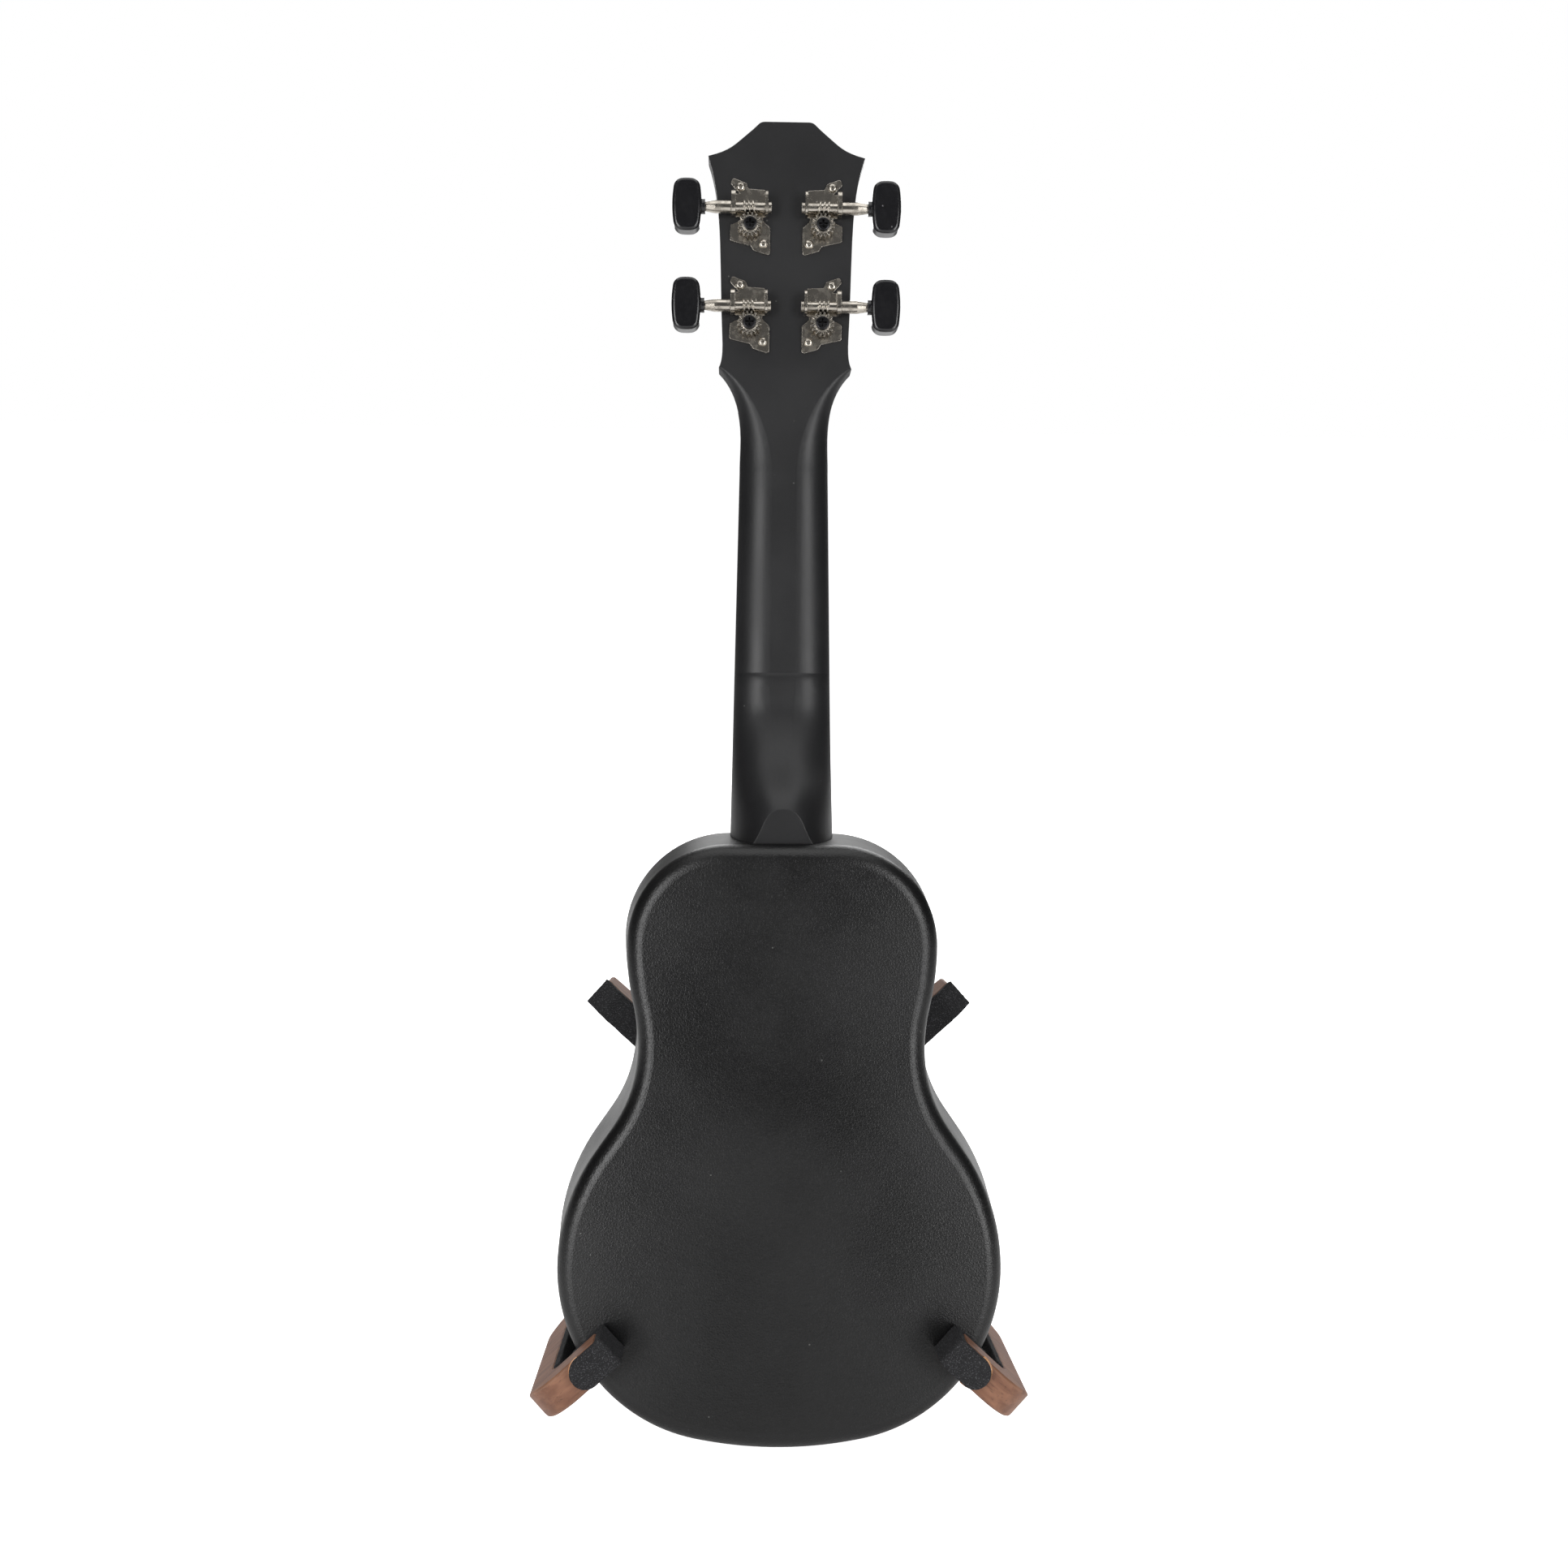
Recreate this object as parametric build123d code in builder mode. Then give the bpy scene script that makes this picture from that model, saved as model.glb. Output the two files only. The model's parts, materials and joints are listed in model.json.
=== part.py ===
from build123d import *
import os
from math import asin, atan2, cos, degrees, radians, sin, tan

# Soprano ukulele with a moulded plastic body, leaning on a folding wooden stand.
# Everything that leans is drawn upright first, in the "instrument frame":
#   X to the right, Y from the ukulele's back towards its soundboard, Z up along the neck,
#   with Z = 0 at the bottom of the body and Y = 0 at the middle of the back.
# `leaning` then tips it back and lifts it off the floor. Millimetres.

os.makedirs("parts", exist_ok=True)

# ---------------------------------------------------------------- how it stands
lean_angle = 12.0
floor_gap = 19.0
origin_y = -103.6
leaning = Pos(0, origin_y, floor_gap) * Rot(X=-lean_angle)
upright = Pos(0, origin_y, 0)

# ---------------------------------------------------------------- ukulele sizes
body_depth = 52.0
body_draft = 4.2
back_arch_radius = 800.0
back_edge_radius = 7.0
shell_wall = 2.2
soundboard_thickness = 2.0

body_bottom = -3.3
bottom_radius = 172.3
lower_bout_radius = 69.3
shoulder_radius = 82.3
shoulder_sweep = 34.8
waist_straight = 11.2
waist_lower_radius = 53.2
waist_upper_radius = 66.7
upper_side_radius = 104.3
upper_side_sweep = 13.36
upper_bout_radius = 42.6
body_top = 236.6

scale_length = 346.0
nut_z = 410.0
saddle_z = nut_z - scale_length
sound_hole_z = 157.0
sound_hole_radius = 24.0

neck_half_at_nut = 17.9
neck_half_at_body = 20.9
neck_back_y = 38.0
neck_edge_y = 49.0
heel_top_z = 302.0
heel_facet_y = 8.0
headstock_front_y = 49.5
fretboard_top_y = 56.0
fretboard_end_z = 213.0
fret_count = 14

# ---------------------------------------------------------------- headstock and tuner sizes
headstock_back_y = 37.5
flare_tip = (26.9, 425.4)
neck_end_z = 399.0
wing_tip = (31.8, 511.1)
headstock_top_z = 525.3
string_radius = 0.35
string_spacing_nut = 9.0
string_spacing_saddle = 13.6
saddle_top_y = 60.4
nut_top_y = 57.2

post_x = 14.7
post_rows = {"lower": 442.3, "upper": 482.0}
post_radius = 3.0
post_top_y = 58.5
gear_teeth = 16
gear_tip_radius = 4.8
gear_root_radius = 3.5
gear_width = 3.0
first_tooth_angle = 90 + 180 / gear_teeth
worm_pitch = 1.728
worm_offset = 7.1
worm_height = 4.4
worm_tip_radius = 2.8
worm_root_radius = 1.95
worm_turns = 3
running_gap = 0.06
plate_thickness = 1.0
ear_top_y = 29.9
outer_ear = (-7.6, -5.9)
inner_ear = (6.2, 7.2)
shaft_radius = 1.9
journal_radius = 1.5
collar_radius = 2.55
collar_end = -14.0
collar_taper = 4.0
button_centre = -25.4
button_width = 11.8
button_height = 21.2
button_thickness = 8.4
button_side_bulge = 1.0
button_end_bulge = 0.7
button_corner_radius = 3.9
button_edge_radius = 1.5

# ---------------------------------------------------------------- stand sizes
arm_thickness = 12.5
arm_angle = 42.2
hub_z = 102.3
foam_thickness = 3.5
pad_gap = 0.4
arm_front_y = 68.0
arm_back_y = 90.0
arm_lap_y = (arm_front_y + arm_back_y) / 2
arm_top_s = 100.6
pad_bend_s = 94.1
pad_start_s = 60.5
hook_bottom_s = -126.0
hook_tip_s = -89.4
throat_s = -111.9
hook_end_radius = 5.0
hook_inner_y = -2.0
hook_front_y = -14.0
hub_bolt_radius = 3.0

spine_half_width = 21.0
spine_thickness = 14.0
spine_back_y = arm_back_y + spine_thickness
spine_top_z = 166.0
hinge_z = 150.0
hinge_offset = 6.5
hinge_y = spine_back_y + hinge_offset
hinge_pin_radius = 2.0
leg_inner_x = 13.5
leg_thickness = 7.5
leg_front = -5.2
leg_back = 11.0
leg_stop_gap = 0.3
leg_angle = 27.0
rear_bar_half = 68.0
rear_bar_height = 14.0

rubber_thickness = 1.0
plate_top = rubber_thickness + 2.0
base_top = 16.0
base_half_width = 44.0
front_edge_y = 50.0
base_front_y = 58.0
base_back_y = 116.0


def keep(piece, label, place=leaning):
    """Puts a finished piece in its place, names it and writes it."""
    placed = place * piece
    placed.label = label
    export_step(placed, f"parts/{label}.step")


# ================================================================ body
def body_outline(grow=0.0):
    """The body's outline as one chain of tangent arcs; grow makes it larger all round."""
    with BuildSketch(Plane.XZ) as outline:
        with BuildLine():
            start = (0, body_bottom - grow)
            bottom_sweep = degrees(asin(20.2 / (bottom_radius - lower_bout_radius)))
            bottom = JernArc(start, (1, 0), bottom_radius + grow, bottom_sweep)
            side = JernArc(bottom @ 1, bottom % 1, lower_bout_radius + grow, 90 - bottom_sweep)
            shoulder = JernArc(side @ 1, side % 1, shoulder_radius + grow, shoulder_sweep)
            straight = Line(shoulder @ 1, shoulder @ 1 + (shoulder % 1) * waist_straight)
            waist_low = JernArc(straight @ 1, straight % 1, waist_lower_radius - grow, -shoulder_sweep)
            waist_high = JernArc(
                waist_low @ 1, waist_low % 1, waist_upper_radius - grow, -upper_side_sweep
            )
            upper = JernArc(
                waist_high @ 1, waist_high % 1, upper_side_radius + grow, upper_side_sweep
            )
            corner = JernArc(upper @ 1, upper % 1, upper_bout_radius + grow, 90)
            Line(corner @ 1, Vector(0, (corner @ 1).Y))
            mirror(about=Plane.YZ)
        make_face()
    return outline.sketch


def body_block(grow, front_y, back_y, edge_radius):
    """A solid body tapering from the soundboard side to an arched back with a rounded edge."""
    with BuildPart() as block:
        add(Pos(0, front_y, 0) * body_outline(grow))
        extrude(amount=front_y - back_y + 1, dir=(0, -1, 0), taper=body_draft)
        with BuildSketch(Plane.XY.offset(-60)):
            with Locations((0, back_arch_radius + back_y)):
                Circle(back_arch_radius)
        extrude(amount=360, mode=Mode.INTERSECT)
        back_face = block.faces().sort_by(Axis.Y)[0]
        fillet(back_face.edges(), edge_radius)
    return block.part


body_solid = body_block(0, body_depth - soundboard_thickness, 0, back_edge_radius)
body_hollow = body_block(
    -shell_wall, body_depth - soundboard_thickness, shell_wall, back_edge_radius - shell_wall
)

with BuildPart() as body_shell:
    add(body_solid)
    add(body_hollow, mode=Mode.SUBTRACT)

with BuildPart() as soundboard:
    add(Pos(0, body_depth, 0) * body_outline())
    extrude(amount=soundboard_thickness, dir=(0, -1, 0))
    with BuildSketch(Plane.XZ.offset(-body_depth)):
        with Locations((0, sound_hole_z)):
            Circle(sound_hole_radius)
    extrude(amount=soundboard_thickness, mode=Mode.SUBTRACT)
    chamfer(soundboard.faces().sort_by(Axis.Y)[-1].outer_wire().edges(), 0.5)
keep(soundboard.part, "soundboard")

# ---------------------------------------------------------------- inside the body
inner_face_y = body_depth - soundboard_thickness
neck_block_low = 211.0
neck_screw_rows = (20.0, 36.0)
neck_screw_radius = 2.0
screw_clearance = 0.05

with BuildPart() as neck_block:
    with BuildSketch(Plane.XY.offset(neck_block_low)):
        with Locations((0, 30)):
            Rectangle(44, 40)
    extrude(amount=30)
    add(body_hollow, mode=Mode.INTERSECT)
    with Locations(*[(0, y, neck_block_low + 10) for y in neck_screw_rows]):
        Cylinder(neck_screw_radius + screw_clearance, 60, mode=Mode.SUBTRACT)
keep(neck_block.part, "neck_block")

with BuildPart() as tail_block:
    with BuildSketch(Plane.XY.offset(3.5)):
        with Locations((0, 30)):
            Rectangle(40, 38)
    extrude(amount=12)
keep(tail_block.part, "tail_block")

with BuildPart() as braces:
    for z, half_length in ((198.0, 45.0), (121.0, 62.0), (30.0, 55.0)):
        with BuildSketch(Plane.XY.offset(z)):
            with Locations((0, inner_face_y - 3)):
                Trapezoid(2 * half_length, 6, 60, rotation=180)
        extrude(amount=5)
keep(braces.part, "soundboard_braces")

with BuildPart() as bridge_plate:
    with BuildSketch(Plane.XZ.offset(-inner_face_y)):
        with Locations((0, saddle_z)):
            RectangleRounded(78, 34, 4)
    extrude(amount=2)
keep(bridge_plate.part, "bridge_plate")

# ---------------------------------------------------------------- bridge and saddle
bridge_top_y = body_depth + 6.5

with BuildPart() as bridge:
    with BuildSketch(Plane.XZ.offset(-body_depth)):
        with Locations((0, saddle_z - 4)):
            RectangleRounded(72, 20, 4)
    extrude(amount=-(bridge_top_y - body_depth))
    chamfer(bridge.faces().sort_by(Axis.Y)[-1].edges(), 1.6)
    with BuildSketch(Plane.XZ.offset(-bridge_top_y)):
        with Locations((0, saddle_z)):
            Rectangle(50.2, 2.5)
        with Locations((0, saddle_z - 4)):
            Rectangle(76, 3)
    extrude(amount=3, mode=Mode.SUBTRACT)
keep(bridge.part, "bridge")

with BuildPart() as saddle:
    with BuildSketch(Plane.XZ.offset(-(bridge_top_y - 3))):
        with Locations((0, saddle_z)):
            Rectangle(50, 2.3)
    extrude(amount=-(saddle_top_y - bridge_top_y + 3))
    fillet(saddle.faces().sort_by(Axis.Y)[-1].edges().filter_by(Axis.X), 0.9)
keep(saddle.part, "saddle")


# ================================================================ neck and headstock
def neck_section(z, half_width, flat, edge_y, back_y, top_y=body_depth):
    """One cross-section: flat top, straight sides, and an oval back with a flat middle."""
    with BuildSketch(Plane.XY.offset(z)) as section:
        with BuildLine():
            Line((0, top_y), (half_width, top_y))
            Line((half_width, top_y), (half_width, edge_y))
            EllipticalCenterArc(
                (flat, edge_y), half_width - flat, edge_y - back_y, start_angle=270, arc_size=90
            )
            Line((flat, back_y), (0, back_y))
            mirror(about=Plane.YZ)
        make_face()
    return section.sketch


heel_low_z = 226.0
neck_taper = (neck_half_at_body - neck_half_at_nut) / (neck_end_z - heel_low_z)


def neck_half(z):
    """Half the neck's width, which tapers evenly from the body to the nut."""
    return neck_half_at_nut + neck_taper * (neck_end_z - z)


heel_rows = (
    # height, flat half width, where the sides start to round, back
    (heel_low_z, 0.6, 39.0, 0.5),
    (236.0, 0.6, 40.0, 3.6),
    (244.0, 0.7, 42.0, 6.6),
    (250.0, 0.9, 43.5, 9.9),
    (256.0, 1.3, 44.8, 15.4),
    (263.0, 2.0, 46.0, 23.0),
    (271.0, 3.0, 47.2, 29.8),
    (280.0, 4.0, 48.3, 34.6),
    (290.0, 4.8, 48.9, 37.3),
    (heel_top_z, 5.0, neck_edge_y, neck_back_y),
)

with BuildPart() as neck:
    for z, flat, edge_y, back_y in heel_rows:
        add(neck_section(z, neck_half(z), flat, edge_y, back_y))
    loft()
    add(neck_section(heel_top_z, neck_half(heel_top_z), 5.0, neck_edge_y, neck_back_y))
    add(neck_section(384.0, neck_half(384.0), 5.0, neck_edge_y, neck_back_y))
    loft()
    for z, half_width, flat, edge_y, back_y in (
        (384.0, neck_half(384.0), 5.0, neck_edge_y, neck_back_y),
        (neck_end_z, neck_half_at_nut, 7.5, 48.0, 37.8),
        (408.0, 18.6, 11.0, 46.0, headstock_back_y),
        (417.0, 21.2, 16.5, 43.0, headstock_back_y),
        (flare_tip[1], flare_tip[0], flare_tip[0] - 1.2, 38.7, headstock_back_y),
    ):
        add(neck_section(z, half_width, flat, edge_y, back_y))
    loft()
    with BuildSketch(Plane.XZ.offset(-headstock_front_y)):
        with BuildLine():
            side = Spline(
                flare_tip, (25.7, 440.0), (26.9, 479.0), wing_tip, tangents=((-0.5, 1), (0.35, 1))
            )
            crown = Spline(
                side @ 1,
                (22.7, 514.7),
                (17.7, 518.7),
                (12.1, 523.7),
                (8.6, headstock_top_z),
                tangents=((-1, 0.25), (-1, 0)),
            )
            Line(crown @ 1, (0, headstock_top_z))
            Line((0, flare_tip[1]), flare_tip)
            mirror(about=Plane.YZ)
        make_face()
    extrude(amount=headstock_front_y - headstock_back_y)
    with Locations((0, headstock_front_y + 10, nut_z + 80)):
        Box(80, 20, 160, mode=Mode.SUBTRACT)
    with Locations((0, heel_facet_y - 10, heel_low_z + 15)):
        Box(60, 20, 60, mode=Mode.SUBTRACT)
    add(body_solid, mode=Mode.SUBTRACT)
    add(soundboard.part, mode=Mode.SUBTRACT)
    with Locations(*[(0, y, heel_low_z) for y in neck_screw_rows]):
        Cylinder(neck_screw_radius + screw_clearance, 56, mode=Mode.SUBTRACT)
    posts = [(x, z) for z in post_rows.values() for x in (-post_x, post_x)]
    with BuildSketch(Plane.XZ.offset(-headstock_front_y)):
        with Locations(*posts):
            Circle(post_radius + 0.3)
    extrude(amount=20, mode=Mode.SUBTRACT)
    with BuildSketch(Plane.XZ.offset(-headstock_front_y)):
        with Locations(*posts):
            Circle(4.0)
    extrude(amount=5, mode=Mode.SUBTRACT)

with BuildPart() as drilled_shell:
    add(body_shell.part)
    with Locations(*[(0, y, neck_block_low) for y in neck_screw_rows]):
        Cylinder(neck_screw_radius + screw_clearance, 60, mode=Mode.SUBTRACT)
keep(drilled_shell.part, "body_shell")

with BuildPart() as neck_screws:
    for y in neck_screw_rows:
        with BuildSketch(Plane.XY.offset(neck_block_low)):
            with Locations((0, y)):
                Circle(neck_screw_radius)
        extrude(amount=38)
        with BuildSketch(Plane.XY.offset(neck_block_low)):
            with Locations((0, y)):
                Circle(4.2)
        extrude(amount=-2.4)
        with BuildSketch(Plane.XY.offset(neck_block_low - 2.4)):
            with Locations((0, y)):
                Rectangle(5.2, 1.1)
                Rectangle(1.1, 5.2)
        extrude(amount=1.2, mode=Mode.SUBTRACT)
keep(neck_screws.part, "neck_screws")


# ================================================================ fretboard
def fret_height(number):
    """Where a fret lies: each one shortens the string by a twelfth root of two."""
    return nut_z - scale_length * (1 - 2 ** (-number / 12))


def board_half(z):
    return neck_half(z) - 0.2


with BuildPart() as fretboard:
    with BuildSketch(Plane.XZ.offset(-body_depth)):
        with BuildLine():
            Polyline(
                (-board_half(nut_z), nut_z),
                (board_half(nut_z), nut_z),
                (board_half(fretboard_end_z), fretboard_end_z),
                (-board_half(fretboard_end_z), fretboard_end_z),
                close=True,
            )
        make_face()
    extrude(amount=-(fretboard_top_y - body_depth))
    for number in range(1, fret_count + 1):
        with Locations((0, fretboard_top_y - 0.5, fret_height(number))):
            Box(60, 1.04, 0.64, mode=Mode.SUBTRACT)
    dots = [(0, (fret_height(n) + fret_height(n - 1)) / 2) for n in (5, 7, 10)]
    dots += [(x, (fret_height(12) + fret_height(11)) / 2) for x in (-7, 7)]
    with BuildSketch(Plane.XZ.offset(-fretboard_top_y)):
        with Locations(*dots):
            Circle(2.5)
    extrude(amount=1.5, mode=Mode.SUBTRACT)
keep(fretboard.part, "fretboard")

with BuildPart() as frets:
    for number in range(1, fret_count + 1):
        z = fret_height(number)
        with BuildSketch(Plane.YZ.offset(-board_half(z) + 0.3)):
            with BuildLine():
                Polyline(
                    (fretboard_top_y, z + 0.9),
                    (fretboard_top_y, z + 0.3),
                    (fretboard_top_y - 1, z + 0.3),
                    (fretboard_top_y - 1, z - 0.3),
                    (fretboard_top_y, z - 0.3),
                    (fretboard_top_y, z - 0.9),
                )
                ThreePointArc(
                    (fretboard_top_y, z - 0.9), (fretboard_top_y + 0.9, z), (fretboard_top_y, z + 0.9)
                )
            make_face()
        extrude(amount=2 * board_half(z) - 0.6)
keep(frets.part, "frets")

with BuildPart() as fret_dots:
    with BuildSketch(Plane.XZ.offset(-fretboard_top_y)):
        with Locations(*dots):
            Circle(2.5)
    extrude(amount=1.5)
keep(fret_dots.part, "fret_dots")

with BuildPart() as nut:
    with BuildSketch(Plane.XZ.offset(-headstock_front_y)):
        with Locations((0, nut_z + 2.1)):
            Rectangle(2 * board_half(nut_z), 4)
    extrude(amount=-(nut_top_y - headstock_front_y))
    fillet(nut.faces().sort_by(Axis.Y)[-1].edges().sort_by(Axis.Z)[-1], 2.0)
keep(nut.part, "nut")

# ================================================================ strings
string_level_y = 54.0
string_names = ("g", "c", "e", "a")
for index, name in enumerate(string_names):
    place = index - 1.5
    side = -1 if place < 0 else 1
    row = "lower" if abs(place) > 1 else "upper"
    saddle_x = place * string_spacing_saddle
    nut_x = place * string_spacing_nut
    wrap_x = side * (post_x - post_radius - string_radius - 0.1)
    with BuildPart() as ukulele_string:
        points = (
            Vector(saddle_x, bridge_top_y + string_radius + 0.05, saddle_z - 9.0),
            Vector(saddle_x, saddle_top_y + string_radius + 0.05, saddle_z),
            Vector(nut_x, nut_top_y + string_radius + 0.05, nut_z + 2.0),
            Vector(wrap_x, string_level_y, post_rows[row] + 1.0),
        )
        for low, high in zip(points, points[1:]):
            with BuildSketch(Plane(origin=low, z_dir=high - low)):
                Circle(string_radius)
            extrude(amount=(high - low).length)
        with Locations(*points[1:-1]):
            Sphere(string_radius)
    keep(ukulele_string.part, f"string_{name}")

# ================================================================ tuners
# A tuner is drawn round its own post's axis: X towards the middle of the headstock (left-hand
# tuner), Y as before and Z up. Right-hand tuners are drawn mirrored.
worm_axis_y = headstock_back_y - worm_height
plate_front_y = headstock_back_y - plate_thickness
gear_back_y = worm_axis_y + gear_width / 2
gear_front_y = worm_axis_y - gear_width / 2


def place_tuner(piece, label):
    """Writes one tuner piece four times: left and right, lower and upper."""
    for row, z in post_rows.items():
        left = Pos(-post_x, 0, z) * piece
        keep(left, f"{label}_{row}_left")
        keep(mirror(left, about=Plane.YZ), f"{label}_{row}_right")


thread_start = -worm_turns * worm_pitch / 2

with BuildPart() as worm_shaft:
    for start, end, radius in (
        (button_centre - 3.0, collar_end, shaft_radius),
        (collar_end, outer_ear[0] - 0.15, collar_radius),
        (outer_ear[0] - 0.15, outer_ear[1] + 0.15, shaft_radius),
        (outer_ear[1] + 0.15, inner_ear[0] - 0.15, worm_root_radius),
        (inner_ear[0] - 0.15, inner_ear[1] + 0.15, journal_radius),
        (inner_ear[1] + 0.15, inner_ear[1] + 1.4, 2.2),
    ):
        with BuildSketch(Plane.YZ.offset(start)):
            with Locations((worm_axis_y, worm_offset)):
                Circle(radius)
        extrude(amount=end - start)
    with Locations((collar_end - collar_taper / 2, worm_axis_y, worm_offset)):
        Cone(collar_radius, shaft_radius, collar_taper, rotation=(0, -90, 0))
    with BuildLine(mode=Mode.PRIVATE):
        thread_path = Helix(
            pitch=worm_pitch,
            height=worm_turns * worm_pitch,
            radius=worm_root_radius,
            center=(thread_start, worm_axis_y, worm_offset),
            direction=(1, 0, 0),
        )
    with BuildSketch(Plane(origin=thread_path @ 0, z_dir=thread_path % 0, x_dir=(1, 0, 0))):
        with BuildLine():
            Polyline((-0.48, -0.25), (0.48, -0.25), (0.25, 0.85), (-0.25, 0.85), close=True)
        make_face()
    sweep(path=thread_path, is_frenet=True)
place_tuner(worm_shaft.part, "worm_shaft")

corner_x = button_width / 2 - button_side_bulge
corner_z = button_height / 2 - button_end_bulge
with BuildSketch() as button_face:
    with BuildLine():
        ThreePointArc((corner_x, -corner_z), (button_width / 2, 0), (corner_x, corner_z))
        ThreePointArc((corner_x, corner_z), (0, button_height / 2), (-corner_x, corner_z))
        ThreePointArc((-corner_x, corner_z), (-button_width / 2, 0), (-corner_x, -corner_z))
        ThreePointArc((-corner_x, -corner_z), (0, -button_height / 2), (corner_x, -corner_z))
    make_face()
    fillet(button_face.vertices(), button_corner_radius)
button_outline = button_face.sketch

with BuildPart() as button:
    with BuildSketch(Plane.XZ.offset(-(worm_axis_y + button_thickness / 2))):
        with Locations((button_centre, worm_offset)):
            add(button_outline)
    extrude(amount=button_thickness)
    fillet(button.edges().group_by(Axis.Y)[0], button_edge_radius)
    fillet(button.edges().group_by(Axis.Y)[-1], button_edge_radius)
    with BuildSketch(Plane.YZ.offset(button_centre + 3)):
        with Locations((worm_axis_y, worm_offset)):
            Circle(3.0)
    extrude(amount=button_width / 2 - 1.6)
    with BuildSketch(Plane.YZ.offset(button_centre - 3.0)):
        with Locations((worm_axis_y, worm_offset)):
            Circle(shaft_radius)
    extrude(amount=20, mode=Mode.SUBTRACT)
place_tuner(button.part, "tuner_button")

plate_screws = ((-3.9, 16.4), (5.4, -6.5))
with BuildPart() as tuner_plate:
    with BuildSketch(Plane.XZ.offset(-headstock_back_y)):
        with BuildLine():
            FilletPolyline(
                (-4.0, 13.4),
                (-7.9, 17.6),
                (-7.2, 20.0),
                (-1.6, 17.9),
                (-0.7, 15.6),
                (6.7, 15.2),
                (5.2, 12.6),
                (5.2, 2.6),
                (8.1, 0.0),
                (8.1, -11.2),
                (1.5, -9.2),
                (0.3, -7.3),
                (-8.0, -5.4),
                (-8.0, 0.8),
                (-4.0, 2.6),
                radius=[0.4, 1, 1, 1, 0.6, 0.7, 0.6, 0.8, 1, 1, 1, 0.8, 1, 1, 0.8],
                close=True,
            )
        make_face()
        with Locations(((outer_ear[0] + inner_ear[1]) / 2, 8.9)):
            Rectangle(inner_ear[1] - outer_ear[0], 9.4)
        with Locations(*plate_screws):
            Circle(1.1, mode=Mode.SUBTRACT)
        Circle(post_radius + 0.3, mode=Mode.SUBTRACT)
    extrude(amount=plate_thickness)
    for low, high, radius in (
        (outer_ear[0], outer_ear[1], shaft_radius),
        (inner_ear[0], inner_ear[1], journal_radius),
    ):
        with BuildSketch(Plane.YZ.offset(low)):
            with BuildLine():
                FilletPolyline(
                    (plate_front_y, 4.2),
                    (ear_top_y, 4.2),
                    (ear_top_y, 13.6),
                    (plate_front_y, 13.6),
                    radius=[2.6, 2.6],
                )
                Line((plate_front_y, 13.6), (plate_front_y, 4.2))
            make_face()
            with Locations((worm_axis_y, worm_offset)):
                Circle(radius + running_gap, mode=Mode.SUBTRACT)
        extrude(amount=high - low)

with BuildPart() as tuner_plates:
    for z in post_rows.values():
        add(Pos(-post_x, 0, z) * tuner_plate.part)
    mirror(about=Plane.YZ)
keep(tuner_plates.part, "tuner_plates")

with BuildSketch() as gear_tooth:
    with BuildLine():
        Polyline((3.2, -0.52), (gear_tip_radius, -0.27), (gear_tip_radius, 0.27), (3.2, 0.52), close=True)
    make_face()

with BuildPart() as post_gear:
    with BuildSketch(Plane.XZ.offset(-gear_back_y)):
        Circle(gear_root_radius)
        with PolarLocations(0, gear_teeth, start_angle=first_tooth_angle):
            add(gear_tooth.sketch)
    extrude(amount=gear_width)
    with BuildSketch(Plane.XZ.offset(-(plate_front_y - 0.1))):
        Circle(gear_root_radius)
    extrude(amount=plate_front_y - 0.1 - gear_back_y)
    with BuildSketch(Plane.XZ.offset(-gear_front_y)):
        Circle(3.1)
    extrude(amount=0.6)
    with BuildSketch(Plane.XZ.offset(-post_top_y)):
        Circle(post_radius)
    extrude(amount=post_top_y - gear_back_y)
    fillet(post_gear.edges().group_by(Axis.Y)[-1], 0.8)
    with BuildSketch(Plane.YZ.offset(-5)):
        with Locations((string_level_y, 0)):
            Circle(0.8)
    extrude(amount=10, mode=Mode.SUBTRACT)
    with BuildSketch(Plane.XZ.offset(-(gear_front_y - 0.6))):
        Circle(1.25)
    extrude(amount=-6.5, mode=Mode.SUBTRACT)
place_tuner(post_gear.part, "post_gear")

with BuildPart() as gear_screw:
    with BuildSketch(Plane.XZ.offset(-(gear_front_y - 0.6))):
        Circle(2.7)
    extrude(amount=1.4)
    fillet(gear_screw.edges().group_by(Axis.Y)[0], 0.6)
    with BuildSketch(Plane.XZ.offset(-(gear_front_y - 2.0))):
        Rectangle(3.4, 0.8)
        Rectangle(0.8, 3.4)
    extrude(amount=-0.9, mode=Mode.SUBTRACT)
    with BuildSketch(Plane.XZ.offset(-(gear_front_y - 0.6))):
        Circle(1.2)
    extrude(amount=-6)
place_tuner(gear_screw.part, "gear_screw")

headstock_screws = [
    (side * (x - post_x), row_z + z)
    for side in (1, -1)
    for row_z in post_rows.values()
    for x, z in plate_screws
]
with BuildPart() as tuner_screws:
    with BuildSketch(Plane.XZ.offset(-plate_front_y)):
        with Locations(*headstock_screws):
            Circle(1.75)
    extrude(amount=1.1)
    fillet(tuner_screws.edges().group_by(Axis.Y)[0], 0.7)
    with BuildSketch(Plane.XZ.offset(-(plate_front_y - 1.1))):
        with Locations(*headstock_screws):
            Rectangle(2.0, 0.5)
            Rectangle(0.5, 2.0)
    extrude(amount=-0.6, mode=Mode.SUBTRACT)
    with BuildSketch(Plane.XZ.offset(-plate_front_y)):
        with Locations(*headstock_screws):
            Circle(1.0)
    extrude(amount=-8)
keep(tuner_screws.part, "tuner_screws")

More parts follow.
